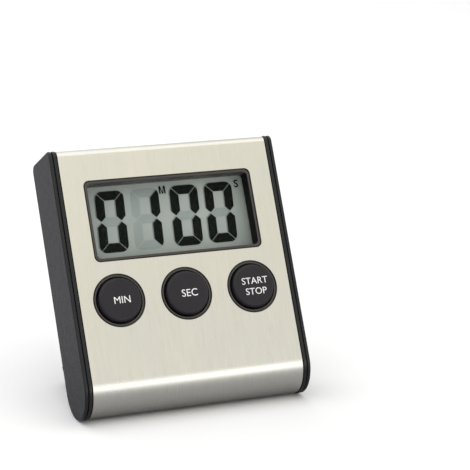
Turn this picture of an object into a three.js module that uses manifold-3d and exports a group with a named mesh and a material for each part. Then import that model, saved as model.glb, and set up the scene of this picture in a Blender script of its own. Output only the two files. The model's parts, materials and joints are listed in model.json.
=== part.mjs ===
// A digital kitchen timer with a bent steel face, three keys and a fold-out stand.
// Millimetres. The case is drawn upright: x runs across it, y from the face (0) to the back, z up the
// face, with the origin at the middle key. The whole case then leans back on its stand.
import * as THREE from "three";
import { mergeVertices } from "three/addons/utils/BufferGeometryUtils.js";
import Module from "manifold-3d";

const wasm = await Module();
wasm.setup();

const { PI, acos, atan, cos, hypot, sin, sqrt } = Math;

// Case
const GAP = 0.3; // clearance between neighbouring pieces
const WELD = 0.1; // how far solids run into each other where they join
const WIDTH = 80;
const DEPTH = 20.6;
const TOP_Z = 52;
const END_Z = -26; // centre of the round bottom end
const END_Y = DEPTH / 2;
const END_RADIUS = DEPTH / 2;
const FRONT_CORNER = 2.3;
const BACK_CORNER = 2.6;
const PARTING_Y = 17.2; // where the front housing meets the back cover
const LEAN = THREE.MathUtils.degToRad(28);
const AHEAD = -2; // just outside the face
const BEHIND = DEPTH + 2; // just outside the back

// Side caps
const CAP_WIDTH = 2.6;
const CAP_PROUD = 0.2; // how far the caps stand out round the edge
const CAP_STRIP = 1.15; // width of the strip next to the steel
const CAP_BEVEL = 0.45;
const STRIP_BEVEL = 0.25;
const PEG_RADIUS = 1.5;
const PEG_LENGTH = 1.2;
const PEG_HEIGHTS = [40, 8, -22];

// Steel face
const SHEET = 0.5;
const INNER_HALF = WIDTH / 2 - CAP_WIDTH - GAP; // half width of what lies between the caps
const SHEET_BACK_Y = PARTING_Y - GAP;
const WRAP = THREE.MathUtils.degToRad(100); // how far the sheet follows the bottom end
const LIP_CLEARANCE = 0.03; // angle between the sheet's edge and the housing's lip

// Display
const WINDOW_HALF = 29.8;
const WINDOW_LOW = 13.2;
const WINDOW_HIGH = 40.9;
const WINDOW_Z = (WINDOW_LOW + WINDOW_HIGH) / 2;
const WINDOW_CORNER = 2;
const RIM = 0.9;
const WELL_FRONT_Y = 0.15; // the rim round the window stands a little behind the steel
const WELL_BACK_Y = 5;
const LENS = 1;
const GLASS = 1; // each of the two glass plates
const GLASS_HALF = 30.5;
const GLASS_HALF_HEIGHT = 15.7;
const CONTACT_LEDGE = 2.2; // what the rear plate leaves free at the top and the bottom
const LENS_Y = WELL_BACK_Y + GAP;
const GLASS_Y = LENS_Y + LENS + GAP;
const REFLECTOR = { half: 29, halfHeight: 12.6, thickness: 0.25 };
const CONNECTOR_HALF = 28;
const CONNECTOR = 1.4; // thickness of the rubber strips

// Keys
const KEY_SPACING = 23.64;
const KEY_HOLE_RADIUS = 8.95;
const COLLAR_RADIUS = 8.55; // the ring of the housing that stands round each key
const COLLAR_INNER_RADIUS = 7.9;
const KEY_RADIUS = 7.35;
const KEY_FLANGE_RADIUS = 8.7;
const KEY_HEIGHT = 1.7; // above the steel
const KEY_ROUNDING = 0.9;
const KEY_TRAVEL = 1;
const KEY_WALL = 1.2;
const KEY_FLANGE = 0.8;
const PAD_TOP_RADIUS = 4;
const PAD_RADIUS = 3;
const MAT_HALF = 33;
const MAT_HALF_HEIGHT = 8.6;
const MAT = 0.7;

// Housing and board
const WALL = 1.5;
const SIDE_WALL = 1.2;
const BOARD_Y = 10;
const BOARD = 1.2;
const BOARD_HALF = 34;
const BOARD_LOW = -15;
const BOARD_HIGH = 47.4;
const POST_RADIUS = 2;
const POST_FOOT_Y = 4; // depth at which the screw bores end
const SCREW_RADIUS = 0.8;
const PARTS_Y = BOARD_Y + BOARD + GAP; // foot of what is mounted on the back of the board
const BOARD_SCREW = { radius: SCREW_RADIUS, headRadius: 1.5, head: 0.9, length: 6 };
const CHIP = { radius: 5.5, height: 1.4, x: -12, z: 28 };
const CRYSTAL = { radius: 1, half: 3, x: 22, z: 24 };
const WIRE_RADIUS = 0.45;
const WIRE_X = 3;
const BOARD_SCREWS = [
  ["board_screw_top_left", -20, 45.2],
  ["board_screw_top_right", 20, 45.2],
  ["board_screw_bottom_left", -30, -12.6],
  ["board_screw_bottom_right", 30, -12.6],
];

// Case screws
const CASE_SCREW_X = 32.8;
const CASE_SCREW_Z = 45;
const CASE_POST_RADIUS = 2.6;
const CASE_SCREW_RADIUS = 1;
const CASE_SCREW = { radius: CASE_SCREW_RADIUS, headRadius: 1.75, head: 1.1, length: 9 };
const RECESS_RADIUS = 2.05;
const RECESS_FLOOR_Y = 15;
const CASE_JOINT_Y = 13.2; // where the front posts meet the tubes of the cover

// Back cover
const BACK_WALL = 1.8;
const INSIDE_Y = DEPTH - BACK_WALL;
const CHANNEL_HALF = 34.4; // the recess that the stand folds into
const CHANNEL_TOP = 32;
const CHANNEL_BOTTOM = -3.15;
const CHANNEL_Y = 18;
const CHANNEL_CORNER = 7.4;
const ISLAND_HALF = 22.7; // the raised middle inside the recess
const ISLAND_TOP = 19.2;
const ISLAND_CORNER = 3;
const CHANNEL_WALL = 1.2;
const NOTCH_RADIUS = 8.1; // the finger notch over the top edge of the recess
const NOTCH_RISE = 1.5;
const KEYHOLE_Z = 37.9;
const KEYHOLE_RADIUS = 4.25;
const KEYHOLE_SLOT_RADIUS = 1.75;
const KEYHOLE_SLOT_TOP = 47.2;
const PIN_HOLE = { x: -25.4, z: 34.4, radius: 1, depth: 1.3 }; // a small blind hole
const TONGUE = { from: 14, to: 20, y: 14.5, z: -28.7, thickness: 1 }; // holds the cover's foot

// Stand
const HINGE_Y = 19.4;
const HINGE_Z = -0.8;
const STAND_LENGTH = 32.4;
const STAND_HALF = 33.5;
const STAND_INNER_HALF = 23.2;
const STAND_BAR = 11.6;
const STAND_CORNER = 7;
const STAND_THICKNESS = 2.2;
const BARREL_RADIUS = 1.8;
const PIN_RADIUS = 0.8;
const SLOT = 1.4;
const SLOT_LENGTH = 6.6;
const FINGER = (STAND_HALF - STAND_INNER_HALF - 2 * SLOT) / 3;
const BUMP_S = STAND_LENGTH - 1.3; // the finger scoop, measured along the stand
const BUMP_Z = HINGE_Z + BUMP_S; // and where it lies when the stand is folded
const BUMP_BASE = 6.2;
const BUMP_TOP = 3.8;
const BUMP_HEIGHT = 1.6;
const BUMP_WALL = 0.9;

// Battery and sounder
const DOOR_HALF = 18.4;
const DOOR_LOW = -16.2;
const DOOR_HIGH = 15;
const DOOR_CORNER = 0.8;
const DOOR_LEDGE_Z = -7;
const DOOR_LEDGE = 0.4;
const DOOR_Y = 19;
const DOOR_FRAME = 1.5; // how far its seat runs past it
const CELL_RADIUS = 10;
const CELL_THICKNESS = 3.2;
const CELL_Z = 4;
const CELL_Y = 14.9;
const CUP_RADIUS = 10.4;
const CUP_FLOOR_Y = 12.8;
const CUP_WALL = 1.2;
const STRIP_HALF = 2; // half width of the battery contacts
const STRIP = 0.3; // their thickness
const STRIP_Z = -4.15; // where the lower one passes through the cup
const MAGNET_HALF = 7.4;
const MAGNET_HALF_HEIGHT = 2.6;
const MAGNET_Z = 10.85;
const MAGNET_THICKNESS = 1.4;
const MAGNET_Y = 19.15;
const MAGNET_SEAT = { half: 8.6, low: 7.3, high: 14.2, y: 18.4 }; // thicker patch inside the door
const HOOK = { x: 14, half: 1, thickness: 0.9, inset: 0.8, y: 16.2 }; // snap hooks of the door
const SOUNDER_Z = -21.9;
const SOUNDER_RADIUS = 7.2;
const SOUNDER_Y = 16.1;
const SOUNDER_SEAT_Y = 17;
const SOUND_HOLE_RADIUS = 0.5;
const SOUND_ROWS = 4;
const SOUND_PITCH = 4.5;
const SOUND_ROW_PITCH = 2.67;
const SOUND_TOP_Z = -18.3;

const ROUND = 24; // sides of a round piece
const FINE = 36; // sides of a large round edge that shows
const COARSE = 12; // sides of a small or hidden one

// ---- Materials ----

function material(color, roughness, metalness = 0, opacity = 1) {
  const made = new THREE.MeshStandardMaterial({ color, roughness, metalness });
  made.opacity = opacity;
  made.transparent = opacity < 1;
  return made;
}

const brushedSteel = () => material(0xcfccc0, 0.38, 1);
const darkPlastic = () => material(0x3a3a3c, 0.55);
const blackPlastic = () => material(0x1b1b1c, 0.6);
const keyPlastic = () => material(0x201e20, 0.42);
const smokePlastic = () => material(0x2e2e33, 0.2);
const clearPlastic = () => material(0xe8eef0, 0.05, 0, 0.35);
const displayGlass = () => material(0x9aa298, 0.2);
const foil = () => material(0xb9bdb6, 0.35, 0.4);
const silicone = () => material(0x6d6f70, 0.8);
const boardBlack = () => material(0x161817, 0.6);
const epoxy = () => material(0x121212, 0.35);
const nickel = () => material(0xc9cdd0, 0.25, 1);
const brass = () => material(0xc9a24a, 0.35, 1);
const zincSteel = () => material(0x9a9ca0, 0.4, 1);
const wireCover = (color) => material(color, 0.55);

// ---- Solids ----

// A closed geometry as a manifold solid: shared corners welded, faces of no area dropped.
function solidOf(geometry) {
  const bare = geometry.clone();
  bare.deleteAttribute("normal");
  bare.deleteAttribute("uv");
  const welded = mergeVertices(bare, 1e-4);
  const triangles = [];
  for (let i = 0; i < welded.index.count; i += 3) {
    const [a, b, c] = [0, 1, 2].map((corner) => welded.index.getX(i + corner));
    if (a !== b && b !== c && c !== a) triangles.push(a, b, c);
  }
  const vertProperties = welded.attributes.position.array;
  const triVerts = Uint32Array.from(triangles);
  return new wasm.Manifold(new wasm.Mesh({ numProp: 3, vertProperties, triVerts }));
}

function geometryOf(solid) {
  const mesh = solid.getMesh();
  const geometry = new THREE.BufferGeometry();
  geometry.setAttribute("position", new THREE.BufferAttribute(mesh.vertProperties, 3));
  geometry.setIndex(new THREE.BufferAttribute(mesh.triVerts, 1));
  geometry.computeVertexNormals();
  return geometry;
}

function union(solids) {
  return solids.reduce((sum, solid) => sum.add(solid));
}

function cut(solid, tools) {
  return tools.reduce((left, tool) => left.subtract(tool), solid);
}

function block(x0, x1, y0, y1, z0, z1) {
  const box = new THREE.BoxGeometry(x1 - x0, y1 - y0, z1 - z0);
  return solidOf(box.translate((x0 + x1) / 2, (y0 + y1) / 2, (z0 + z1) / 2));
}

const basis = (x, y, z) => new THREE.Matrix4().makeBasis(x, y, z);
const X = new THREE.Vector3(1, 0, 0);
const Y = new THREE.Vector3(0, 1, 0);
const Z = new THREE.Vector3(0, 0, 1);

// An outline drawn in (x, z), from y0 back to y1.
function alongY(shape, y0, y1) {
  const settings = { depth: y1 - y0, bevelEnabled: false, curveSegments: 5 };
  const geometry = new THREE.ExtrudeGeometry(shape, settings);
  geometry.applyMatrix4(basis(X, Z, Y.clone().negate()));
  return solidOf(geometry.translate(0, y1, 0));
}

// An outline drawn in (y, z), from x0 to x1, with its two edges bevelled.
function alongX(shape, x0, x1, bevel = 0) {
  const geometry = new THREE.ExtrudeGeometry(shape, {
    depth: x1 - x0 - 2 * bevel,
    bevelEnabled: bevel > 0,
    bevelThickness: bevel,
    bevelSize: bevel,
    bevelOffset: -bevel,
    bevelSegments: 1,
    curveSegments: 7,
  });
  geometry.applyMatrix4(basis(Y, Z, X));
  return solidOf(geometry.translate(x0 + bevel, 0, 0));
}

// A solid of revolution about a line along y through (x, z); its profile is a list of [radius, y].
function turned(profile, x = 0, z = 0, sides = ROUND) {
  const points = profile.map(([radius, y]) => new THREE.Vector2(radius, y));
  return solidOf(new THREE.LatheGeometry(points, sides).translate(x, 0, z));
}

function rod(radius, y0, y1, x = 0, z = 0, sides = ROUND) {
  return turned([[0, y0], [radius, y0], [radius, y1], [0, y1]], x, z, sides);
}

function rodAlongX(radius, x0, x1, y, z, sides = 20) {
  const geometry = new THREE.CylinderGeometry(radius, radius, x1 - x0, sides);
  geometry.rotateZ(PI / 2);
  return solidOf(geometry.translate((x0 + x1) / 2, y, z));
}

// ---- Outlines ----

// The side of the case, drawn in (y, z): square top, round bottom end.
function sideOutline(inset) {
  const shape = new THREE.Shape();
  const back = DEPTH - inset;
  const top = TOP_Z - inset;
  const frontCorner = Math.max(FRONT_CORNER - inset, 0.2);
  const backCorner = Math.max(BACK_CORNER - inset, 0.2);
  shape.absarc(inset + frontCorner, top - frontCorner, frontCorner, PI, PI / 2, true);
  shape.absarc(back - backCorner, top - backCorner, backCorner, PI / 2, 0, true);
  shape.absarc(END_Y, END_Z, END_RADIUS - inset, 0, -PI / 2, true);
  shape.absarc(END_Y, END_Z, END_RADIUS - inset, -PI / 2, -PI, true);
  return shape;
}

// Part of the round bottom end, between two radii and two angles measured from the face downwards.
function endBand(outer, inner, from, to) {
  const shape = new THREE.Shape();
  shape.absarc(END_Y, END_Z, outer, PI + from, PI + to, false);
  shape.absarc(END_Y, END_Z, inner, PI + to, PI + from, true);
  return shape;
}

// The bent steel sheet, drawn in (y, z): over the top, down the face and round the bottom end.
function sheetOutline() {
  const shape = new THREE.Shape();
  const cornerZ = TOP_Z - FRONT_CORNER;
  shape.moveTo(SHEET_BACK_Y, TOP_Z);
  shape.absarc(FRONT_CORNER, cornerZ, FRONT_CORNER, PI / 2, PI, false);
  shape.absarc(END_Y, END_Z, END_RADIUS, PI, PI + WRAP, false);
  shape.absarc(END_Y, END_Z, END_RADIUS - SHEET, PI + WRAP, PI, true);
  shape.absarc(FRONT_CORNER, cornerZ, FRONT_CORNER - SHEET, PI, PI / 2, true);
  shape.lineTo(SHEET_BACK_Y, TOP_Z - SHEET);
  return shape;
}

function roundedRectangle(half, low, high, radius) {
  const shape = new THREE.Shape();
  shape.absarc(half - radius, low + radius, radius, -PI / 2, 0, false);
  shape.absarc(half - radius, high - radius, radius, 0, PI / 2, false);
  shape.absarc(radius - half, high - radius, radius, PI / 2, PI, false);
  shape.absarc(radius - half, low + radius, radius, PI, 1.5 * PI, false);
  return shape;
}

// An outline with a square foot and round shoulders.
function arch(half, low, high, radius) {
  const shape = new THREE.Shape();
  shape.moveTo(-half, low);
  shape.lineTo(half, low);
  shape.absarc(half - radius, high - radius, radius, 0, PI / 2, false);
  shape.absarc(radius - half, high - radius, radius, PI / 2, PI, false);
  return shape;
}

function windowOutline(inset) {
  return roundedRectangle(
    WINDOW_HALF - inset,
    WINDOW_LOW + inset,
    WINDOW_HIGH - inset,
    WINDOW_CORNER - inset / 2,
  );
}

// ---- Case pieces ----

const keyPlaces = [-KEY_SPACING, 0, KEY_SPACING];
const caseScrewPlaces = [-CASE_SCREW_X, CASE_SCREW_X];

function frontPanel() {
  const sheet = alongX(sheetOutline(), -INNER_HALF, INNER_HALF);
  const behind = 2 * SHEET;
  const keyHoles = keyPlaces.map((x) => rod(KEY_HOLE_RADIUS, AHEAD, behind, x, 0, FINE));
  return cut(sheet, [alongY(windowOutline(0), AHEAD, behind), ...keyHoles]);
}

// The moulded shell behind the sheet, open at the back.
function frontHousing() {
  const skin = SHEET + GAP;
  const innerY = skin + WALL;
  const back = block(-WIDTH, WIDTH, PARTING_Y, BEHIND, -WIDTH, WIDTH);
  const cavityHalf = INNER_HALF - SIDE_WALL;
  const cavity = alongX(sideOutline(innerY), -cavityHalf, cavityHalf);
  const lip = endBand(END_RADIUS, END_RADIUS - skin - WELD, WRAP + LIP_CLEARANCE, PI);
  const shell = union([
    alongX(sideOutline(skin), -INNER_HALF, INNER_HALF),
    alongX(lip, -INNER_HALF, INNER_HALF),
  ]);
  const posts = BOARD_SCREWS.map(([, x, z]) =>
    rod(POST_RADIUS, innerY - WELD, BOARD_Y - GAP, x, z, COARSE),
  );
  const postBores = BOARD_SCREWS.map(([, x, z]) =>
    rod(SCREW_RADIUS + GAP, POST_FOOT_Y, BEHIND, x, z, COARSE),
  );
  const casePosts = caseScrewPlaces.map((x) => {
    const post = rod(CASE_POST_RADIUS, innerY - WELD, CASE_JOINT_Y, x, CASE_SCREW_Z);
    return post.subtract(rod(CASE_SCREW_RADIUS + GAP, POST_FOOT_Y, BEHIND, x, CASE_SCREW_Z, COARSE));
  });
  const pegHoles = PEG_HEIGHTS.map((z) =>
    rodAlongX(PEG_RADIUS + GAP, -WIDTH, WIDTH, END_Y, z, COARSE),
  );
  const well = alongY(windowOutline(GAP), WELL_FRONT_Y, WELL_BACK_Y);
  const wellOpening = alongY(windowOutline(GAP + RIM), AHEAD, WELL_BACK_Y + WALL);
  const collars = keyPlaces.map((x) => rod(COLLAR_RADIUS, WELL_FRONT_Y, innerY - WELD, x, 0, FINE));
  const guides = keyPlaces.map((x) => rod(COLLAR_INNER_RADIUS, AHEAD, innerY + WALL, x, 0, FINE));
  const tray = cut(shell, [cavity, back, ...pegHoles]);
  const fitted = union([tray, well, ...collars, ...posts]);
  const open = cut(fitted, [wellOpening, ...guides, ...postBores]);
  return union([open, ...casePosts]);
}

// A cheek with the whole side outline: an inner strip, a groove round the edge, and the outer face.
function sideCap(side) {
  const inner = WIDTH / 2 - CAP_WIDTH;
  const middle = inner + CAP_STRIP;
  const outline = sideOutline(-CAP_PROUD);
  const pegs = PEG_HEIGHTS.map((z) =>
    rodAlongX(PEG_RADIUS, inner - PEG_LENGTH, middle, END_Y, z, COARSE),
  );
  const right = union([
    alongX(outline, inner, middle, STRIP_BEVEL),
    alongX(outline, middle - WELD / 2, WIDTH / 2, CAP_BEVEL),
    ...pegs,
  ]);
  return side > 0 ? right : mirroredX(right);
}

function mirroredX(solid) {
  return solid.mirror([1, 0, 0]);
}

function bothSides(solid) {
  return [solid, mirroredX(solid)];
}

function keyhole() {
  const front = INSIDE_Y - BACK_WALL;
  const slot = roundedRectangle(KEYHOLE_SLOT_RADIUS, KEYHOLE_Z, KEYHOLE_SLOT_TOP, KEYHOLE_SLOT_RADIUS);
  const head = rod(KEYHOLE_RADIUS, front, BEHIND, 0, KEYHOLE_Z);
  return union([alongY(slot, front, BEHIND), head]);
}

// Small holes in a triangle that points down.
function soundHoles() {
  const holes = [];
  for (let row = 0; row < SOUND_ROWS; row++) {
    const count = SOUND_ROWS - row;
    const z = SOUND_TOP_Z - row * SOUND_ROW_PITCH;
    for (let i = 0; i < count; i++) {
      const x = (i - (count - 1) / 2) * SOUND_PITCH;
      holes.push(rod(SOUND_HOLE_RADIUS, SOUNDER_SEAT_Y, BEHIND, x, z, 8));
    }
  }
  return holes;
}

// The recess that the stand folds into, round the raised middle, and the finger notch at its top edge.
function standRecess() {
  const outer = arch(CHANNEL_HALF, CHANNEL_BOTTOM, CHANNEL_TOP, CHANNEL_CORNER);
  const island = arch(ISLAND_HALF, CHANNEL_BOTTOM - WALL, ISLAND_TOP, ISLAND_CORNER);
  const channel = alongY(outer, CHANNEL_Y, BEHIND).subtract(alongY(island, AHEAD, BEHIND + 1));
  const notchZ = CHANNEL_TOP + NOTCH_RISE - NOTCH_RADIUS;
  const notch = rod(NOTCH_RADIUS, CHANNEL_Y, BEHIND, 0, notchZ, FINE).subtract(slab(0, ISLAND_TOP));
  const scoopFloor = CHANNEL_Y - BUMP_HEIGHT - GAP;
  const scoop = rod(BUMP_BASE + GAP, scoopFloor, BEHIND, 0, BUMP_Z).subtract(slab(CHANNEL_TOP, TOP_Z));
  const pocketFloor = HINGE_Y - BARREL_RADIUS - GAP;
  const pocketTop = HINGE_Z + BARREL_RADIUS + GAP;
  const hingePockets = bothSides(
    block(ISLAND_HALF, CHANNEL_HALF, pocketFloor, BEHIND, CHANNEL_BOTTOM, pocketTop),
  );
  return union([channel, notch, scoop, ...hingePockets]);
}

// Extra thickness inside the cover, behind everything that is sunk into its outside.
function recessBacking() {
  const back = INSIDE_Y + WELD;
  const half = CHANNEL_HALF + CHANNEL_WALL;
  const low = CHANNEL_BOTTOM - CHANNEL_WALL;
  const high = CHANNEL_TOP + CHANNEL_WALL;
  const hingeFront = HINGE_Y - BARREL_RADIUS - GAP - CHANNEL_WALL;
  const hingeTop = HINGE_Z + BARREL_RADIUS + GAP + CHANNEL_WALL;
  const scoopFront = CHANNEL_Y - BUMP_HEIGHT - GAP - CHANNEL_WALL;
  return union([
    alongY(arch(half, low, high, CHANNEL_CORNER), CHANNEL_Y - CHANNEL_WALL, back),
    rod(BUMP_BASE + GAP + CHANNEL_WALL, scoopFront, back, 0, BUMP_Z).subtract(slab(high, TOP_Z)),
    ...bothSides(block(ISLAND_HALF - CHANNEL_WALL, half, hingeFront, back, low, hingeTop)),
  ]);
}

// Everything between two heights.
function slab(low, high) {
  return block(-WIDTH, WIDTH, AHEAD, BEHIND + 1, low, high);
}

// Two thin ears on each side hold the hinge pin between the stand's knuckles.
function hingeEars() {
  const ears = [];
  for (const slot of [0, 1]) {
    const low = STAND_INNER_HALF + FINGER + slot * (FINGER + SLOT) + GAP;
    const high = low + SLOT - 2 * GAP;
    const radius = BARREL_RADIUS - 0.1;
    const foot = HINGE_Y - BARREL_RADIUS - GAP - WELD;
    const ear = union([
      rodAlongX(radius, low, high, HINGE_Y, HINGE_Z),
      block(low, high, foot, HINGE_Y, HINGE_Z - radius, HINGE_Z + radius),
    ]);
    const bore = rodAlongX(PIN_RADIUS + GAP, 0, WIDTH, HINGE_Y, HINGE_Z, COARSE);
    ears.push(...bothSides(ear.subtract(bore)));
  }
  return ears;
}

// A round cup for the coin cell, below a shallow seat for the door.
function batteryWell() {
  const margin = DOOR_FRAME;
  const seat = roundedRectangle(DOOR_HALF + margin, DOOR_LOW - margin, DOOR_HIGH + margin, DOOR_CORNER);
  return union([
    alongY(seat, DOOR_Y - GAP - CHANNEL_WALL, INSIDE_Y + WELD),
    rod(CUP_RADIUS + CUP_WALL, CUP_FLOOR_Y, INSIDE_Y, 0, CELL_Z),
  ]);
}

// The cell's cup, the seats of the door and the magnet, and the slots for the contacts and the hooks.
function batteryWellCuts() {
  const doorSeat = roundedRectangle(DOOR_HALF + GAP, DOOR_LOW - GAP, DOOR_HIGH + GAP, DOOR_CORNER);
  const magnetHalf = MAGNET_SEAT.half + GAP;
  const magnetLow = MAGNET_SEAT.low - GAP;
  const magnetHigh = MAGNET_SEAT.high + GAP;
  const stripHalf = STRIP_HALF + GAP;
  const upperStripZ = CELL_Z + CELL_RADIUS + GAP;
  const lowerSlotBack = CUP_FLOOR_Y + CUP_WALL + GAP;
  const hookHalf = HOOK.half + GAP;
  const hookSlots = hookHeights().flatMap((z) => {
    const top = z + HOOK.thickness + GAP;
    return bothSides(block(HOOK.x - hookHalf, HOOK.x + hookHalf, CUP_FLOOR_Y, DOOR_Y, z - GAP, top));
  });
  return [
    alongY(doorSeat, DOOR_Y - GAP, BEHIND),
    rod(CUP_RADIUS, CUP_FLOOR_Y + CUP_WALL, BEHIND, 0, CELL_Z),
    block(-magnetHalf, magnetHalf, MAGNET_SEAT.y - GAP, DOOR_Y, magnetLow, magnetHigh),
    block(-stripHalf, stripHalf, BOARD_Y, DOOR_Y, upperStripZ - GAP, upperStripZ + STRIP + GAP),
    block(-stripHalf, stripHalf, BOARD_Y, lowerSlotBack, STRIP_Z - 2 * GAP, STRIP_Z + 2 * GAP),
    ...hookSlots,
  ];
}

// Lower edges of the door's hooks, one pair near each end of the door.
function hookHeights() {
  return [DOOR_LOW + HOOK.inset, DOOR_HIGH - HOOK.inset - HOOK.thickness];
}

function backCover() {
  const back = INSIDE_Y + WELD;
  const cavityHalf = INNER_HALF - SIDE_WALL;
  const shell = cut(alongX(sideOutline(0), -INNER_HALF, INNER_HALF), [
    block(-WIDTH, WIDTH, AHEAD, PARTING_Y + GAP, -WIDTH, WIDTH),
    alongX(sideOutline(BACK_WALL), -cavityHalf, cavityHalf),
  ]);
  const screwTubes = caseScrewPlaces.map((x) =>
    rod(CASE_POST_RADIUS, CASE_JOINT_Y + GAP, back, x, CASE_SCREW_Z),
  );
  const screwBores = caseScrewPlaces.flatMap((x) => [
    rod(RECESS_RADIUS, RECESS_FLOOR_Y, BEHIND, x, CASE_SCREW_Z),
    rod(CASE_SCREW_RADIUS + GAP, CASE_JOINT_Y, BEHIND, x, CASE_SCREW_Z, COARSE),
  ]);
  const sounderRing = rod(SOUNDER_RADIUS, SOUNDER_SEAT_Y, back, 0, SOUNDER_Z).subtract(
    rod(SOUNDER_RADIUS - 1, AHEAD, INSIDE_Y, 0, SOUNDER_Z),
  );
  const { from, to, y, z, thickness } = TONGUE;
  const tongues = bothSides(block(from, to, y, back, z - thickness / 2, z + thickness / 2));
  const whole = union([
    shell,
    recessBacking(),
    batteryWell(),
    sounderRing,
    ...tongues,
    ...screwTubes,
  ]);
  const pinHole = rod(PIN_HOLE.radius, DEPTH - PIN_HOLE.depth, BEHIND, PIN_HOLE.x, PIN_HOLE.z, 16);
  const opened = cut(whole, [
    standRecess(),
    keyhole(),
    ...batteryWellCuts(),
    ...screwBores,
    ...soundHoles(),
    pinHole,
  ]);
  return union([opened, ...hingeEars()]);
}

// ---- Stand ----

// Drawn folded up, in its own frame: the hinge line is x, z runs up the arms, y out of the back.
function stand() {
  const half = STAND_THICKNESS / 2;
  const reach = 2 * STAND_THICKNESS; // clear of the plate and the barrels on both sides
  const outer = arch(STAND_HALF, 0, STAND_LENGTH, STAND_CORNER);
  const gap = arch(STAND_INNER_HALF, -reach, STAND_LENGTH - STAND_BAR, 2);
  const plate = alongY(outer, -half, half).subtract(alongY(gap, -reach, reach));
  const beyond = block(-STAND_HALF, STAND_HALF, -reach, reach, STAND_LENGTH, 2 * STAND_LENGTH);
  const bump = cone(BUMP_TOP, BUMP_BASE, -half - BUMP_HEIGHT, WELD - half).subtract(beyond);
  const scoopFloor = BUMP_WALL - half - BUMP_HEIGHT;
  const scoop = cone(BUMP_TOP - BUMP_WALL, BUMP_BASE - BUMP_WALL, scoopFloor, half + WELD);
  const barrels = bothSides(rodAlongX(BARREL_RADIUS, STAND_INNER_HALF, STAND_HALF, 0, 0));
  const slots = [0, 1].flatMap((index) => {
    const low = STAND_INNER_HALF + FINGER + index * (FINGER + SLOT);
    return bothSides(block(low, low + SLOT, -reach, reach, -reach, SLOT_LENGTH));
  });
  return cut(union([plate, bump, ...barrels]), [
    scoop,
    ...slots,
    rodAlongX(PIN_RADIUS + GAP, -WIDTH, WIDTH, 0, 0, COARSE),
  ]);
}

// Part of a cone at the stand's finger scoop: one radius at y0, the other at y1.
function cone(radius0, radius1, y0, y1) {
  return turned([[0, y0], [radius0, y0], [radius1, y1], [0, y1]], 0, BUMP_S);
}

// ---- Display, keys and board ----

function lcdGlass() {
  const plate = (halfHeight, y0, y1) =>
    block(-GLASS_HALF, GLASS_HALF, y0, y1, WINDOW_Z - halfHeight, WINDOW_Z + halfHeight);
  return union([
    plate(GLASS_HALF_HEIGHT, GLASS_Y, GLASS_Y + GLASS),
    plate(GLASS_HALF_HEIGHT - CONTACT_LEDGE, GLASS_Y + GLASS / 2, GLASS_Y + 2 * GLASS),
  ]);
}

// The rubber strip that joins the glass ledge to the board; end is 1 at the top and -1 at the bottom.
function lcdConnector(end) {
  const y = GLASS_Y + GLASS + GAP;
  const z = WINDOW_Z + end * (GLASS_HALF_HEIGHT - CONTACT_LEDGE / 2);
  const half = CONNECTOR / 2;
  return block(-CONNECTOR_HALF, CONNECTOR_HALF, y, BOARD_Y - GAP, z - half, z + half);
}

// A hollow key: rounded top edge, straight side and a flange that keeps it behind the housing.
function key() {
  const rim = SHEET + 2 * GAP + WALL;
  const top = -KEY_HEIGHT;
  const steps = 4;
  const rounding = [];
  for (let step = 0; step <= steps; step++) {
    const angle = (step / steps) * (PI / 2);
    const radius = KEY_RADIUS - KEY_ROUNDING + KEY_ROUNDING * sin(angle);
    rounding.push([radius, top + KEY_ROUNDING * (1 - cos(angle))]);
  }
  return turned([
    [0, top],
    ...rounding,
    [KEY_RADIUS, rim],
    [KEY_FLANGE_RADIUS, rim],
    [KEY_FLANGE_RADIUS, rim + KEY_FLANGE],
    [KEY_RADIUS - KEY_WALL, rim + KEY_FLANGE],
    [KEY_RADIUS - KEY_WALL, 0],
    [0, 0],
  ]);
}

// The silicone plunger under a key, ending in its carbon pill.
function keyPad() {
  const end = BOARD_Y - KEY_TRAVEL - GAP;
  const shoulder = SHEET + GAP + WALL;
  const profile = [
    [0, GAP],
    [PAD_TOP_RADIUS, GAP],
    [PAD_TOP_RADIUS, shoulder],
    [PAD_RADIUS, shoulder + 1],
    [PAD_RADIUS, end - 0.5],
    [PAD_RADIUS - 0.5, end],
    [0, end],
  ];
  return turned(profile, 0, 0, COARSE);
}

function keypadMat() {
  const outline = roundedRectangle(MAT_HALF, -MAT_HALF_HEIGHT, MAT_HALF_HEIGHT, 2);
  const mat = alongY(outline, BOARD_Y - GAP - MAT, BOARD_Y - GAP);
  return cut(mat, keyPlaces.map((x) => rod(PAD_TOP_RADIUS + 2 * GAP, AHEAD, BEHIND, x, 0, 16)));
}

function circuitBoard() {
  const board = block(-BOARD_HALF, BOARD_HALF, BOARD_Y, BOARD_Y + BOARD, BOARD_LOW, BOARD_HIGH);
  const clear = CASE_POST_RADIUS + GAP;
  const notch = block(CASE_SCREW_X - clear, WIDTH, AHEAD, BEHIND, CASE_SCREW_Z - clear, TOP_Z);
  const screwHoles = BOARD_SCREWS.map(([, x, z]) =>
    rod(SCREW_RADIUS + GAP, AHEAD, BEHIND, x, z, COARSE),
  );
  return cut(board, [...bothSides(notch), ...screwHoles]);
}

function screw({ radius, headRadius, head, length }) {
  const shank = rod(radius, -length, WELD, 0, 0, COARSE);
  return shank.add(rod(headRadius, 0, head, 0, 0, COARSE));
}

// The chip under its round cap of black resin: part of a ball.
function chip() {
  const ballRadius = (CHIP.radius ** 2 + CHIP.height ** 2) / (2 * CHIP.height);
  const steps = 4;
  const profile = [[0, 0]];
  for (let step = 0; step <= steps; step++) {
    const radius = CHIP.radius * (1 - step / steps);
    profile.push([radius, CHIP.height - ballRadius + sqrt(ballRadius ** 2 - radius ** 2)]);
  }
  return turned(profile, 0, 0, 14);
}

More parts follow.
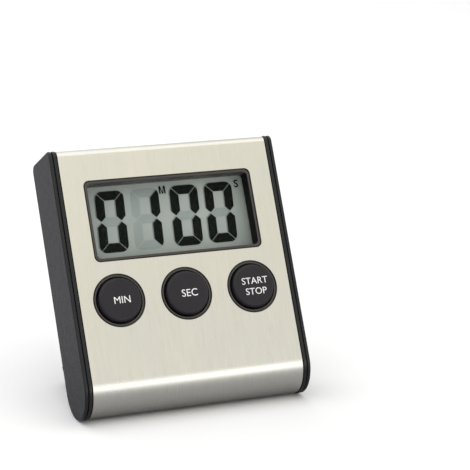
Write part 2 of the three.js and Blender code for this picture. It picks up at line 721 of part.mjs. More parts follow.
// From the board down to the sounder, bowed away from the other wire.
function wire(x) {
  const end = SOUNDER_Y - WIRE_RADIUS;
  const bowed = x * 1.3;
  const route = new THREE.CatmullRomCurve3([
    new THREE.Vector3(x, PARTS_Y, BOARD_LOW + 4),
    new THREE.Vector3(bowed, PARTS_Y + 1.6, BOARD_LOW + 2.8),
    new THREE.Vector3(bowed, PARTS_Y + 2.4, BOARD_LOW - 1.5),
    new THREE.Vector3(x, end, SOUNDER_Z + SOUNDER_RADIUS / 2),
  ]);
  const section = new THREE.Shape();
  section.absarc(0, 0, WIRE_RADIUS, 0, 2 * PI, false);
  const settings = { steps: 12, curveSegments: 6, bevelEnabled: false, extrudePath: route };
  return solidOf(new THREE.ExtrudeGeometry(section, settings));
}

// ---- Battery ----

// The can of the cell, with its smaller lid towards the board.
function coinCell() {
  const top = CELL_Y + CELL_THICKNESS;
  const lidRadius = CELL_RADIUS - 1.6;
  const rounding = 0.2;
  const profile = [
    [0, CELL_Y],
    [lidRadius, CELL_Y],
    [lidRadius, CELL_Y + 2 * rounding],
    [CELL_RADIUS - rounding, CELL_Y + 2 * rounding],
    [CELL_RADIUS, CELL_Y + 3 * rounding],
    [CELL_RADIUS, top - rounding],
    [CELL_RADIUS - rounding, top],
    [0, top],
  ];
  return turned(profile, 0, CELL_Z);
}

// A spring strip that presses on the rim of the cell.
function positiveContact() {
  const z = CELL_Z + CELL_RADIUS + GAP;
  const back = CELL_Y + CELL_THICKNESS - WELD;
  return block(-STRIP_HALF, STRIP_HALF, PARTS_Y, back, z, z + STRIP);
}

// A spring strip that lies on the floor of the cup, under the cell.
function negativeContact() {
  const floor = CUP_FLOOR_Y + CUP_WALL + GAP;
  const low = STRIP_Z - STRIP / 2;
  return union([
    block(-STRIP_HALF, STRIP_HALF, floor, floor + STRIP, low, CELL_Z + STRIP_HALF),
    block(-STRIP_HALF, STRIP_HALF, PARTS_Y, floor + STRIP, low, low + STRIP),
  ]);
}

// The snap-on door: a plate with a raised lower end, a pocket for the magnet and four hooks.
function batteryCover() {
  const plate = alongY(roundedRectangle(DOOR_HALF, DOOR_LOW, DOOR_HIGH, DOOR_CORNER), DOOR_Y, DEPTH);
  const ledgeTop = DEPTH + DOOR_LEDGE;
  const ledge = block(-DOOR_HALF, DOOR_HALF, DEPTH - WELD, ledgeTop, DOOR_LOW, DOOR_LEDGE_Z);
  const { half, low, high, y } = MAGNET_SEAT;
  const seat = block(-half, half, y, DOOR_Y + WELD, low, high);
  const hooks = hookHeights().flatMap((z) => {
    const { x, thickness } = HOOK;
    return bothSides(block(x - HOOK.half, x + HOOK.half, HOOK.y, DOOR_Y + WELD, z, z + thickness));
  });
  const pocketHalf = MAGNET_HALF + GAP;
  const pocketLow = MAGNET_Z - MAGNET_HALF_HEIGHT - GAP;
  const pocketHigh = MAGNET_Z + MAGNET_HALF_HEIGHT + GAP;
  const pocket = block(-pocketHalf, pocketHalf, MAGNET_Y - GAP, BEHIND, pocketLow, pocketHigh);
  return union([plate, ledge, seat, ...hooks]).subtract(pocket);
}

function magnet() {
  const low = MAGNET_Z - MAGNET_HALF_HEIGHT;
  const high = MAGNET_Z + MAGNET_HALF_HEIGHT;
  return block(-MAGNET_HALF, MAGNET_HALF, MAGNET_Y, MAGNET_Y + MAGNET_THICKNESS, low, high);
}

// ---- Assembly ----

function piece(name, solid, finish, x = 0, y = 0, z = 0) {
  const mesh = new THREE.Mesh(geometryOf(solid), finish);
  mesh.name = name;
  mesh.position.set(x, y, z);
  return mesh;
}

// How far the stand swings out of the back before its foot meets the table.
function openAngle() {
  const across = (HINGE_Z - END_Z) * cos(LEAN) - (HINGE_Y - END_Y) * sin(LEAN);
  const height = across + END_RADIUS + CAP_PROUD;
  const halfThickness = STAND_THICKNESS / 2;
  const reach = hypot(STAND_LENGTH, halfThickness);
  return PI - LEAN - acos(height / reach) - atan(halfThickness / STAND_LENGTH);
}

function casing() {
  const seatY = RECESS_FLOOR_Y + GAP;
  return [
    piece("front_panel", frontPanel(), brushedSteel()),
    piece("front_housing", frontHousing(), blackPlastic()),
    piece("left_side_cap", sideCap(-1), darkPlastic()),
    piece("right_side_cap", sideCap(1), darkPlastic()),
    piece("back_cover", backCover(), blackPlastic()),
    piece("case_screw_left", screw(CASE_SCREW), zincSteel(), -CASE_SCREW_X, seatY, CASE_SCREW_Z),
    piece("case_screw_right", screw(CASE_SCREW), zincSteel(), CASE_SCREW_X, seatY, CASE_SCREW_Z),
  ];
}

// A plain plate behind the window, as wide as half says and centred on the display.
function displayPlate(half, halfHeight, y0, y1) {
  const low = WINDOW_Z - halfHeight;
  return alongY(roundedRectangle(half, low, low + 2 * halfHeight, 1), y0, y1);
}

function display() {
  const lensHalfHeight = (WINDOW_HIGH - WINDOW_LOW) / 2 + GAP;
  const lens = displayPlate(WINDOW_HALF + GAP, lensHalfHeight, LENS_Y, LENS_Y + LENS);
  const reflectorY = GLASS_Y + 2 * GLASS + GAP;
  const { half, halfHeight, thickness } = REFLECTOR;
  const reflector = displayPlate(half, halfHeight, reflectorY, reflectorY + thickness);
  return [
    piece("display_lens", lens, clearPlastic()),
    piece("lcd_glass", lcdGlass(), displayGlass()),
    piece("lcd_reflector", reflector, foil()),
    piece("lcd_connector_top", lcdConnector(1), silicone()),
    piece("lcd_connector_bottom", lcdConnector(-1), silicone()),
  ];
}

function keys() {
  return ["min", "sec", "start_stop"].flatMap((name, index) => [
    piece(name + "_button", key(), keyPlastic(), keyPlaces[index]),
    piece(name + "_key_pad", keyPad(), silicone(), keyPlaces[index]),
  ]);
}

function electronics() {
  const screws = BOARD_SCREWS.map(([name, x, z]) =>
    piece(name, screw(BOARD_SCREW), zincSteel(), x, PARTS_Y, z),
  );
  const crystal = rodAlongX(CRYSTAL.radius, -CRYSTAL.half, CRYSTAL.half, 0, 0, COARSE);
  const crystalY = PARTS_Y + CRYSTAL.radius;
  const disc = rod(SOUNDER_RADIUS, SOUNDER_Y, SOUNDER_SEAT_Y - GAP, 0, SOUNDER_Z);
  return [
    piece("circuit_board", circuitBoard(), boardBlack()),
    piece("controller_chip", chip(), epoxy(), CHIP.x, PARTS_Y, CHIP.z),
    piece("quartz_crystal", crystal, nickel(), CRYSTAL.x, crystalY, CRYSTAL.z),
    piece("keypad_mat", keypadMat(), silicone()),
    piece("piezo_disc", disc, brass()),
    piece("sounder_wire_red", wire(-WIRE_X), wireCover(0xb01818)),
    piece("sounder_wire_black", wire(WIRE_X), wireCover(0x181818)),
    ...screws,
  ];
}

function battery() {
  return [
    piece("coin_cell", coinCell(), nickel()),
    piece("positive_contact", positiveContact(), nickel()),
    piece("negative_contact", negativeContact(), nickel()),
    piece("battery_cover", batteryCover(), blackPlastic()),
    piece("magnet", magnet(), nickel()),
  ];
}

function hinge() {
  const pinLow = STAND_INNER_HALF + GAP;
  const pinHigh = STAND_HALF - GAP;
  const group = new THREE.Group();
  group.position.set(0, HINGE_Y, HINGE_Z);
  group.rotation.x = -openAngle();
  group.add(
    piece("stand", stand(), smokePlastic()),
    piece("left_hinge_pin", rodAlongX(PIN_RADIUS, -pinHigh, -pinLow, 0, 0, COARSE), zincSteel()),
    piece("right_hinge_pin", rodAlongX(PIN_RADIUS, pinLow, pinHigh, 0, 0, COARSE), zincSteel()),
  );
  return group;
}

const leaning = new THREE.Group();
leaning.rotation.x = -LEAN;
leaning.add(...casing(), ...display(), ...keys(), ...electronics(), ...battery(), hinge());

// The timer stands on z = 0, centred over the origin.
const timer = new THREE.Group();
timer.add(leaning);
const bounds = new THREE.Box3().setFromObject(timer, true);
const centre = bounds.getCenter(new THREE.Vector3());
leaning.position.set(-centre.x, -centre.y, -bounds.min.z);

export default timer;
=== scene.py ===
"""A digital kitchen timer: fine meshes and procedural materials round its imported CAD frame.

The case is drawn upright, in millimetres: x runs across it, y from the face (0) to the back and
z up the face, with the origin at the middle key. CASE then puts what is drawn in the row frame,
in metres.
"""

import json
import math

import bmesh
import bpy
from mathutils import Euler, Matrix, Vector


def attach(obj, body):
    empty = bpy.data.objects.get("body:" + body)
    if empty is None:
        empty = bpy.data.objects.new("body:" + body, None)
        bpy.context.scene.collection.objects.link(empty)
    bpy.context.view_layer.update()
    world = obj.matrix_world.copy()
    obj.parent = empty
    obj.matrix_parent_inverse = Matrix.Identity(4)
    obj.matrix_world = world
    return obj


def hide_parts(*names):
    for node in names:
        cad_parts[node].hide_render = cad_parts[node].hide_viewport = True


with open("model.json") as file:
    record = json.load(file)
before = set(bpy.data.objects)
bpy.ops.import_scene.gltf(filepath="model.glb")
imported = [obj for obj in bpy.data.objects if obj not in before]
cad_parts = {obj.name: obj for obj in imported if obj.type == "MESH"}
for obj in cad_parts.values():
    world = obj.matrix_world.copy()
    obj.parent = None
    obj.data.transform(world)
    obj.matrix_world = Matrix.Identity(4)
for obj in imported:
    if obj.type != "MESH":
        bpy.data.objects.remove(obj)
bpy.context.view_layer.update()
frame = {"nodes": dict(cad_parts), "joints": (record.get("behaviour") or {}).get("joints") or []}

# ---- Dimensions of the case, in millimetres ----

GAP = 0.3  # clearance between neighbouring pieces
WELD = 0.1  # how far solids run into each other where they join
OVERRUN = 1  # how far cutters run past what they cut
SHORT_OVERRUN = 0.5
SLIVER = 0.02  # the least radius or step that a solid is drawn with
SOFT_EDGE = 0.3  # roundings of edges
EDGE = 0.25
CRISP_EDGE = 0.2
SMALL_EDGE = 0.15
FINE_EDGE = 0.12
THIN_EDGE = 0.1
SHEET_EDGE = 0.06
WIDTH = 80
DEPTH = 20.6
TOP_Z = 52
END_Z = -26  # centre of the round bottom end
END_RADIUS = DEPTH / 2
FRONT_CORNER = 2.3
BACK_CORNER = 2.6
PARTING_Y = 17.2  # where the front housing meets the back cover
AHEAD = -2  # just outside the face
BEHIND = DEPTH + 2  # just outside the back
INNER_HALF = 37.1  # half width of what lies between the side caps

CAP_INNER_X = 37.4
CAP_GROOVE_X = 38.55
CAP_GROOVE = 0.22
CAP_GROOVE_DEPTH = 0.8
CAP_GROOVE_EDGE = 0.5
CAP_OUTER_EDGE = 0.6
CAP_PROUD = 0.2
PEG_RADIUS = 1.5
PEG_LENGTH = 1.2
PEG_HEIGHTS = (40, 8, -22)

SHEET = 0.5
SHEET_BACK_Y = PARTING_Y - GAP
WRAP = 100  # degrees that the sheet follows the bottom end
LIP_START = WRAP + 1.7  # where the housing comes out to the surface
SKIN = SHEET + GAP
WALL = 1.5
CAVITY_HALF = INNER_HALF - 1.2

WINDOW_HALF = 29.8
WINDOW_LOW = 13.2
WINDOW_HIGH = 40.9
WINDOW_Z = (WINDOW_LOW + WINDOW_HIGH) / 2
WINDOW_CORNER = 2
RIM = 0.9
RIM_FRONT_Y = 0.15
WELL_BACK_Y = 5
LENS = 1
LENS_Y = WELL_BACK_Y + GAP
GLASS = 2
GLASS_Y = LENS_Y + LENS + GAP
GLASS_HALF = 30.5
GLASS_HALF_HEIGHT = 15.7

KEY_SPACING = 23.64
KEY_HOLE_RADIUS = 8.95
COLLAR_RADIUS = 8.55
COLLAR_INNER_RADIUS = 7.9
KEY_RADIUS = 7.35
KEY_FLANGE_RADIUS = 8.7
KEY_HEIGHT = 1.7
KEY_ROUNDING = 0.9
KEY_CROWN = 0.12  # how far the middle of a key is above its rounding
KEY_FLANGE = 0.8
KEY_WALL = 1.2

CASE_SCREWS = {"left": -32.8, "right": 32.8}
CASE_SCREW_Z = 45
CASE_POST_RADIUS = 2.6
FRONT_POST_Y = 13.2  # where the posts of the front housing end
BACK_POST_Y = 13.5  # where the posts of the back cover begin
POST_BORE_RADIUS = 1.3
RECESS_RADIUS = 2.05
RECESS_FLOOR_Y = 15
SCREW_RADIUS = 1
SCREW_LENGTH = 9
SCREW_HEAD_RADIUS = 1.75
SCREW_HEAD_TOP_RADIUS = 1.2
SCREW_HEAD = 1.1
SCREW_CROSS_HALF = 0.22
SCREW_CROSS_FLOOR = 0.5  # above the head's seat

BACK_WALL = 1.8
INSIDE_Y = DEPTH - BACK_WALL
CHANNEL_HALF = 34.4  # the recess that the stand folds into
CHANNEL_TOP = 32
CHANNEL_BOTTOM = -3.15
CHANNEL_Y = 18
CHANNEL_CORNER = 7.4
CHANNEL_WALL = 1.2
ISLAND_HALF = 22.7
ISLAND_TOP = 19.2
ISLAND_CORNER = 3
NOTCH_RADIUS = 8.1
NOTCH_Z = CHANNEL_TOP + 1.5 - NOTCH_RADIUS
KEYHOLE_Z = 37.9
KEYHOLE_RADIUS = 4.25
KEYHOLE_SLOT_RADIUS = 1.75
KEYHOLE_SLOT_TOP = 47.2
MOULD_MARK_RADIUS = 1
MOULD_MARK_DEPTH = 1.3
MOULD_MARK_PLACE = (-25.4, 34.4)
TONGUE_X = (14, 20)
TONGUE_Y = 14.5
TONGUE_Z = (-29.2, -28.2)
SOUND_HOLE_RADIUS = 0.5
SOUND_HOLE_Y = 17
SOUND_ROWS = 4
SOUND_SPACING = 4.5
SOUND_ROW_STEP = 2.67
SOUND_TOP_Z = -18.3

HINGE_Y = 19.4
HINGE_Z = -0.8
STAND_LENGTH = 32.4
STAND_HALF = 33.5
STAND_INNER_HALF = 23.2
STAND_BAR = 11.6
STAND_CORNER = 7
STAND_THICKNESS = 2.2
BARREL_RADIUS = 1.8
PIN_RADIUS = 0.8
SLOT = 1.4
SLOT_LENGTH = 6.6
FINGER = (STAND_HALF - STAND_INNER_HALF - 2 * SLOT) / 3
BUMP_S = STAND_LENGTH - 1.3
BUMP_Z = HINGE_Z + BUMP_S
BUMP_BASE = 6.2
BUMP_TOP = 3.8
BUMP_HEIGHT = 1.6
BUMP_WALL = 0.9
ROUND_MARK_RADIUS = 3  # ejector pin marks on the stand
ROUND_MARK_WIDTH = 0.25
ROUND_MARK_DEPTH = 0.12
ARM_MARK_Z = 11.2
BAR_MARK_X = 24
LONG_MARK_HALF = 3.2
LONG_MARK_HALF_HEIGHT = 1.2
LONG_MARK_CORNER = 1.1
LONG_MARK_DEPTH = 0.15
LONG_MARK_X = 13.5

DOOR_HALF = 18.4
DOOR_LOW = -16.2
DOOR_HIGH = 15
DOOR_CORNER = 0.8
DOOR_LEDGE_Z = -7
DOOR_LEDGE = 0.4
DOOR_Y = 19
DOOR_FRAME = 1.5
SEAT_HALF = 8.6  # the magnet's seat on the inner side of the battery cover
SEAT_LOW = 7.3
SEAT_HIGH = 14.2
SEAT_Y = 18.4
HOOK_X = (13, 15)
HOOK_Y = 16.2
HOOK_PLACES = (-15.4, 13.3)
HOOK = 0.9
CELL_Z = 4
CUP_RADIUS = 10.4
CUP_FLOOR_Y = 12.8
CUP_WALL = 1.2
CONTACT_SLOT_HALF = 2.3
CONTACT_SLOT_Y = 10
CONTACT_SLOT_LOW = CELL_Z + 10
CONTACT_SLOT_HIGH = CELL_Z + 10.9
MAGNET_HALF = 7.4
MAGNET_HALF_HEIGHT = 2.6
MAGNET_Z = 10.85
MAGNET_Y = 19.15
MAGNET_THICKNESS = 1.4
SOUNDER_Z = -21.9
SOUNDER_RADIUS = 7.2
SOUNDER_WALL = 1
SOUNDER_RING_Y = 17

# ---- The row frame ----


def joint(name):
    return next(j for j in frame["joints"] if j["name"] == name)


LEAN = math.asin(-joint("min_press")["axis"][2])
STAND_OPEN = math.radians(joint("stand_hinge")["range_deg"][1])
CASE = (
    Matrix.Translation(joint("stand_hinge")["pos_m"])
    @ Matrix.Rotation(-LEAN, 4, "X")
    @ Matrix.Scale(0.001, 4)
    @ Matrix.Translation((0, -HINGE_Y, -HINGE_Z))
)
HINGE = CASE @ Matrix.Translation((0, HINGE_Y, HINGE_Z)) @ Matrix.Rotation(-STAND_OPEN, 4, "X")

# ---- Outlines ----


def arc(a, b, radius, start, end, steps=16):
    """Points on an arc round (a, b), from start to end in degrees."""
    turns = [math.radians(start + (end - start) * i / steps) for i in range(steps + 1)]
    return [(a + radius * math.cos(turn), b + radius * math.sin(turn)) for turn in turns]


def side_outline(inset=0.0):
    """The side of the case in (y, z): square top, round bottom end."""
    least = 0.05
    back = DEPTH - inset
    top = TOP_Z - inset
    front_corner = max(FRONT_CORNER - inset, least)
    back_corner = max(BACK_CORNER - inset, least)
    return (
        arc(inset + front_corner, top - front_corner, front_corner, 180, 90)
        + arc(back - back_corner, top - back_corner, back_corner, 90, 0)
        + arc(END_RADIUS, END_Z, END_RADIUS - inset, 0, -180, 72)
    )


def sheet_outline(grow=0.0):
    """The bent sheet in (y, z): over the top, down the face and round the bottom end."""
    corner_z = TOP_Z - FRONT_CORNER
    outside = arc(FRONT_CORNER, corner_z, FRONT_CORNER + grow, 90, 180) + arc(
        END_RADIUS, END_Z, END_RADIUS + grow, 180, 180 + WRAP, 40
    )
    inside = arc(END_RADIUS, END_Z, END_RADIUS - SHEET - grow, 180 + WRAP, 180, 40) + arc(
        FRONT_CORNER, corner_z, FRONT_CORNER - SHEET - grow, 180, 90
    )
    edge = [(SHEET_BACK_Y, TOP_Z - SHEET - grow), (SHEET_BACK_Y, TOP_Z + grow)]
    return outside + inside + edge


def end_band(outer, inner, start, end):
    """Part of the round bottom end in (y, z), between angles measured from the face downwards."""
    return arc(END_RADIUS, END_Z, outer, 180 + start, 180 + end, 24) + arc(
        END_RADIUS, END_Z, inner, 180 + end, 180 + start, 24
    )


def rounded_rectangle(half, low, high, radius, steps=10):
    """An outline in (x, z) that can be widened by grow."""

    def outline(grow=0.0):
        w = half + grow
        bottom = low - grow
        top = high + grow
        r = max(radius + grow, SLIVER)
        return (
            arc(w - r, bottom + r, r, -90, 0, steps)
            + arc(w - r, top - r, r, 0, 90, steps)
            + arc(r - w, top - r, r, 90, 180, steps)
            + arc(r - w, bottom + r, r, 180, 270, steps)
        )

    return outline


def arch(half, low, high, radius):
    """An outline in (x, z) with a square foot and round shoulders, that can be widened by grow."""

    def outline(grow=0.0):
        w = half + grow
        top = high + grow
        r = max(radius + grow, SLIVER)
        foot = [(-w, low - grow), (w, low - grow)]
        return foot + arc(w - r, top - r, r, 0, 90) + arc(r - w, top - r, r, 90, 180)

    return outline


def circle(radius, x=0.0, z=0.0, sides=48):
    """A round outline in (x, z) that can be widened by grow."""

    def outline(grow=0.0):
        return arc(x, z, radius + grow, 0, 360, sides)[:-1]

    return outline


def fixed(points):
    """An outline that stays the same at every station."""
    return lambda change: points


def rounded(start, end, start_radius=0.0, end_radius=0.0, steps=4):
    """Stations (place, grow) of a bar from start to end whose end edges are rounded."""
    way = 1 if end > start else -1
    turns = [math.radians(90 * i / steps) for i in range(steps + 1)]
    first = [
        (start + way * start_radius * (1 - math.sin(turn)), -start_radius * (1 - math.cos(turn)))
        for turn in reversed(turns)
    ]
    last = [
        (end - way * end_radius * (1 - math.sin(turn)), -end_radius * (1 - math.cos(turn)))
        for turn in turns
    ]
    return (first if start_radius else [(start, 0.0)]) + (last if end_radius else [(end, 0.0)])


def flared(floor, surface, edge=0.2, steps=3):
    """Stations of a cutter that leaves a rounded edge where it comes out through a surface."""
    way = 1 if surface > floor else -1
    proud = way * 0.01
    beyond = way * 2
    stations = [(floor, 0.0)]
    for i in range(steps + 1):
        turn = math.radians(90 * i / steps)
        y = surface - way * edge * (1 - math.sin(turn)) + proud
        stations.append((y, edge * (1 - math.cos(turn))))
    return stations + [(surface + beyond, edge)]


# ---- Solids ----


def solid_object(bm):
    """A new object from bmesh data, with its faces turned outwards."""
    bmesh.ops.recalc_face_normals(bm, faces=bm.faces)
    mesh = bpy.data.meshes.new("solid")
    bm.to_mesh(mesh)
    bm.free()
    made = bpy.data.objects.new("solid", mesh)
    bpy.context.scene.collection.objects.link(made)
    return made


def loft(rings, closed=False):
    """A solid whose skin joins rings of equally many points. closed joins the last to the first."""
    bm = bmesh.new()
    loops = [[bm.verts.new(point) for point in ring] for ring in rings]
    pairs = list(zip(loops, loops[1:]))
    if closed:
        pairs.append((loops[-1], loops[0]))
    else:
        bm.faces.new(loops[0])
        bm.faces.new(loops[-1])
    for near, far in pairs:
        for i in range(len(near)):
            bm.faces.new((near[i - 1], near[i], far[i], far[i - 1]))
    return solid_object(bm)


def prism_y(outline, stations):
    """An (x, z) outline carried along y, widened at each (y, grow) station."""
    return loft([[(x, y, z) for x, z in outline(grow)] for y, grow in stations])


def prism_x(outline, stations):
    """A (y, z) outline carried along x, drawn in by inset at each (x, inset) station."""
    return loft([[(x, y, z) for y, z in outline(inset)] for x, inset in stations])


def bar_x(points, half):
    """A fixed (y, z) outline carried from -half to half."""
    return prism_x(fixed(points), [(-half, 0), (half, 0)])


def block(x0, x1, y0, y1, z0, z1, edge=0.0):
    """A box, with its edges along y and at its two y faces rounded."""
    outline = rounded_rectangle((x1 - x0) / 2, z0, z1, edge, 4 if edge else 1)
    made = prism_y(outline, rounded(y0, y1, edge, edge))
    made.data.transform(Matrix.Translation(((x0 + x1) / 2, 0, 0)))
    return made


def rod(radius, y0, y1, x=0.0, z=0.0, sides=48):
    return prism_y(circle(radius, x, z, sides), [(y0, 0), (y1, 0)])


def rod_x(radius, x0, x1, y, z, sides=32, edge=0.0):
    outline = circle(radius, y, z, sides)
    return prism_x(outline, rounded(x0, x1, edge, edge))


def turned(profile, x, z, sides):
    """Rings of points about a line along y, one for each (radius, y) of the profile."""
    return [[(a, y, b) for a, b in circle(radius, x, z, sides)()] for radius, y in profile]


def lathe(profile, x=0.0, z=0.0, sides=96):
    """A solid of revolution about a line along y. Its profile is a list of (radius, y)."""
    return loft(turned(profile, x, z, sides))


def tube(outer, inner, y0, y1, x=0.0, z=0.0, sides=48):
    """A straight tube along y."""
    profile = [(outer, y0), (outer, y1), (inner, y1), (inner, y0)]
    return loft(turned(profile, x, z, sides), closed=True)


def mirrored(made):
    """A copy of a solid on the other side of the middle plane."""
    twin = made.copy()
    twin.data = made.data.copy()
    bpy.context.scene.collection.objects.link(twin)
    twin.data.transform(Matrix.Scale(-1, 4, (1, 0, 0)))
    twin.data.flip_normals()
    return twin


def both_sides(made):
    return [made, mirrored(made)]


def combined(target, tools, operation):
    """The target after a boolean with each tool. The tools are used up."""
    for tool in tools:
        modifier = target.modifiers.new("boolean", "BOOLEAN")
        modifier.object = tool
        modifier.operation = operation
        modifier.solver = "EXACT"
    depsgraph = bpy.context.evaluated_depsgraph_get()
    target.data = bpy.data.meshes.new_from_object(target.evaluated_get(depsgraph))
    target.modifiers.clear()
    for tool in tools:
        bpy.data.objects.remove(tool)
    return target


def cut(target, tools):
    return combined(target, tools, "DIFFERENCE")


def union(target, others):
    return combined(target, others, "UNION")


def joined(objects):
    """Solids that don't touch, as one object."""
    bm = bmesh.new()
    for made in objects:
        bm.from_mesh(made.data)
        bpy.data.objects.remove(made)
    return solid_object(bm)


def piece(name, made, material, body, replaces=(), place=CASE, sharp=32):
    """Names a finished solid, puts it in the row frame, paints it and hangs it on its body."""
    made.name = name
    made.data.name = name
    made.data.transform(place)
    made.data.materials.clear()
    made.data.materials.append(material)
    made.data.shade_smooth()
    made.data.set_sharp_from_angle(angle=math.radians(sharp))
    weighted = made.modifiers.new("flat faces stay flat", "WEIGHTED_NORMAL")
    weighted.keep_sharp = True
    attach(made, body)
    if replaces:
        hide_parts(*replaces)
    return made


# ---- Materials ----

MIX_FIRST = 6  # the colour sockets of a Mix node
MIX_SECOND = 7
MIX_RESULT = 2


class Paint:
    """A Principled material being made. Patterns lie upright on the case, in millimetres."""

    def __init__(self, name, **sockets):
        self.material = bpy.data.materials.new(name)
        self.material.use_nodes = True
        self.tree = self.material.node_tree
        self.shader = self.tree.nodes["Principled BSDF"]
        self.set(**sockets)
        place = self.node("ShaderNodeTexCoord").outputs["Object"]
        upright = self.node("ShaderNodeMapping", Vector=place)
        upright.inputs["Rotation"].default_value = (LEAN, 0, 0)
        upright.inputs["Scale"].default_value = (1000, 1000, 1000)
        self.place = upright.outputs["Vector"]

    def node(self, kind, settings=None, **inputs):
        """Adds a node. Its inputs are set by name, from numbers or from other nodes' outputs."""
        made = self.tree.nodes.new(kind)
        for setting, value in (settings or {}).items():
            setattr(made, setting, value)
        for socket, value in inputs.items():
            self.feed(made.inputs[socket.replace("_", " ")], value)
        return made

    def feed(self, socket, value):
        if isinstance(value, bpy.types.NodeSocket):
            self.tree.links.new(value, socket)
        else:
            socket.default_value = value

    def noise(self, size, detail=3.0):
        """Noise from 0 to 1. size is that of its grains in millimetres, or theirs in x, y and z."""
        scaled = self.node("ShaderNodeVectorMath", {"operation": "DIVIDE"})
        self.feed(scaled.inputs[0], self.place)
        scaled.inputs[1].default_value = size if isinstance(size, tuple) else (size, size, size)
        settings = {"Vector": scaled.outputs[0], "Scale": 1.0, "Detail": detail}
        return self.node("ShaderNodeTexNoise", **settings).outputs["Fac"]

    def spread(self, value, low, high, start=0.3, end=0.7):
        """Maps a pattern's start to low and its end to high."""
        ends = {"From_Min": start, "From_Max": end, "To_Min": low, "To_Max": high}
        return self.node("ShaderNodeMapRange", Value=value, **ends).outputs["Result"]

    def blend(self, factor, first, second):
        """A colour between two."""
        made = self.node("ShaderNodeMix", {"data_type": "RGBA"})
        self.feed(made.inputs["Factor"], factor)
        self.feed(made.inputs[MIX_FIRST], first)
        self.feed(made.inputs[MIX_SECOND], second)
        return made.outputs[MIX_RESULT]

    def bump(self, height, depth, normal=None):
        """Raises the surface by depth millimetres times height."""
        made = self.node("ShaderNodeBump", Height=height, Strength=1.0, Distance=depth / 1000)
        if normal is not None:
            self.feed(made.inputs["Normal"], normal)
        return made.outputs["Normal"]

    def worn_and_highlit_edges(self, radius=0.25):
        """1 along edges, 0 elsewhere: the edges that get lightened, partly for rubbed wear and
        partly as a painted highlight on their roundings.
        """
        bevel = self.node("ShaderNodeBevel", {"samples": 4}, Radius=radius / 1000)
        geometry = self.node("ShaderNodeNewGeometry")
        dot = self.node("ShaderNodeVectorMath", {"operation": "DOT_PRODUCT"})
        self.feed(dot.inputs[0], bevel.outputs["Normal"])
        self.feed(dot.inputs[1], geometry.outputs["Normal"])
        return self.spread(dot.outputs["Value"], 1.0, 0.0, 0.8, 0.99)

    def set(self, **inputs):
        """Sets the shader's own sockets by name, and gives the material."""
        for socket, value in inputs.items():
            self.feed(self.shader.inputs[socket.replace("_", " ")], value)
        return self.material


def rgb(red, green, blue):
    return (red, green, blue, 1.0)


def scaled_colour(colour, factor):
    return tuple(channel * factor for channel in colour[:3]) + (1.0,)


def mottled(paint, colour, variation, size):
    """The colour, darker and lighter by a share of itself in soft patches."""
    patches = paint.spread(paint.noise(size, 4), 0.0, 1.0)
    dark = scaled_colour(colour, 1 - variation)
    light = scaled_colour(colour, 1 + variation)
    return paint.blend(patches, dark, light)


def plastic(
    name, colour, roughness, grain=0.25, depth=0.004, variation=0.12, wear=0.0, **sockets
):
    """Moulded plastic: mottled colour, fine spark texture and an uneven sheen."""
    paint = Paint(name, **sockets)
    base = mottled(paint, colour, variation, 7)
    # edges lightened: partly rubbed wear, partly a painted highlight along the roundings
    if wear:
        base = paint.blend(paint.worn_and_highlit_edges(), base, scaled_colour(colour, 1 + wear))
    sheen = paint.spread(paint.noise(2.5, 5), roughness - 0.04, roughness + 0.06)
    texture = paint.noise(grain, 2)
    return paint.set(Base_Color=base, Roughness=sheen, Normal=paint.bump(texture, depth))


def metal(name, colour, roughness, grain=0.4, depth=0.002, variation=0.08):
    """Plain metal: slightly uneven colour and a finely pitted surface."""
    paint = Paint(name, Metallic=1.0)
    base = mottled(paint, colour, variation, 3)
    sheen = paint.spread(paint.noise(1.2, 4), roughness - 0.06, roughness + 0.08)
    pits = paint.noise(grain, 3)
    return paint.set(Base_Color=base, Roughness=sheen, Normal=paint.bump(pits, depth))


def brushed_steel():
    """Stainless sheet with fine brush lines that run up the face and round its bends."""
    paint = Paint("brushed_steel", Metallic=1.0)
    fine = paint.noise((0.16, 9, 9), 2)
    broad = paint.noise((1.1, 16, 16), 3)
    cloud = paint.noise((14, 20, 20), 2)
    warm = rgb(0.735, 0.71, 0.632)
    cool = rgb(0.69, 0.69, 0.63)
    tint = paint.blend(paint.spread(cloud, 0.0, 1.0), warm, cool)
    streaked = paint.blend(paint.spread(broad, 0.0, 0.3), tint, rgb(0.665, 0.65, 0.598))
    lined = paint.blend(paint.spread(fine, 0.0, 0.3), streaked, rgb(0.76, 0.745, 0.69))
    sheen = paint.spread(fine, 0.27, 0.35)
    lines = paint.bump(fine, 0.003)
    return paint.set(Base_Color=lined, Roughness=sheen, Normal=paint.bump(broad, 0.002, lines))


def board_lacquer():
    """Black solder mask over a faint pattern of copper tracks."""
    paint = Paint("board_lacquer", Coat_Weight=0.4, Coat_Roughness=0.2)
    tracks = paint.node("ShaderNodeTexBrick", Vector=paint.place, Scale=0.35)
    tracks.inputs["Color1"].default_value = rgb(0.008, 0.011, 0.009)
    tracks.inputs["Color2"].default_value = rgb(0.011, 0.014, 0.012)
    tracks.inputs["Mortar"].default_value = rgb(0.03, 0.034, 0.028)
    sheen = paint.spread(paint.noise(2, 3), 0.35, 0.5)
    weave = paint.bump(paint.noise(0.4, 2), 0.004)
    return paint.set(Base_Color=tracks.outputs["Color"], Roughness=sheen, Normal=weave)


def clear_lens():
    """Clear acrylic with a very faint ripple."""
    clear = rgb(0.97, 0.985, 0.98)
    paint = Paint("clear_lens", Base_Color=clear, Transmission_Weight=1.0, IOR=1.06)
    sheen = paint.spread(paint.noise(6, 3), 0.0, 0.03)
    return paint.set(Roughness=sheen, Normal=paint.bump(paint.noise(9, 2), 0.004))


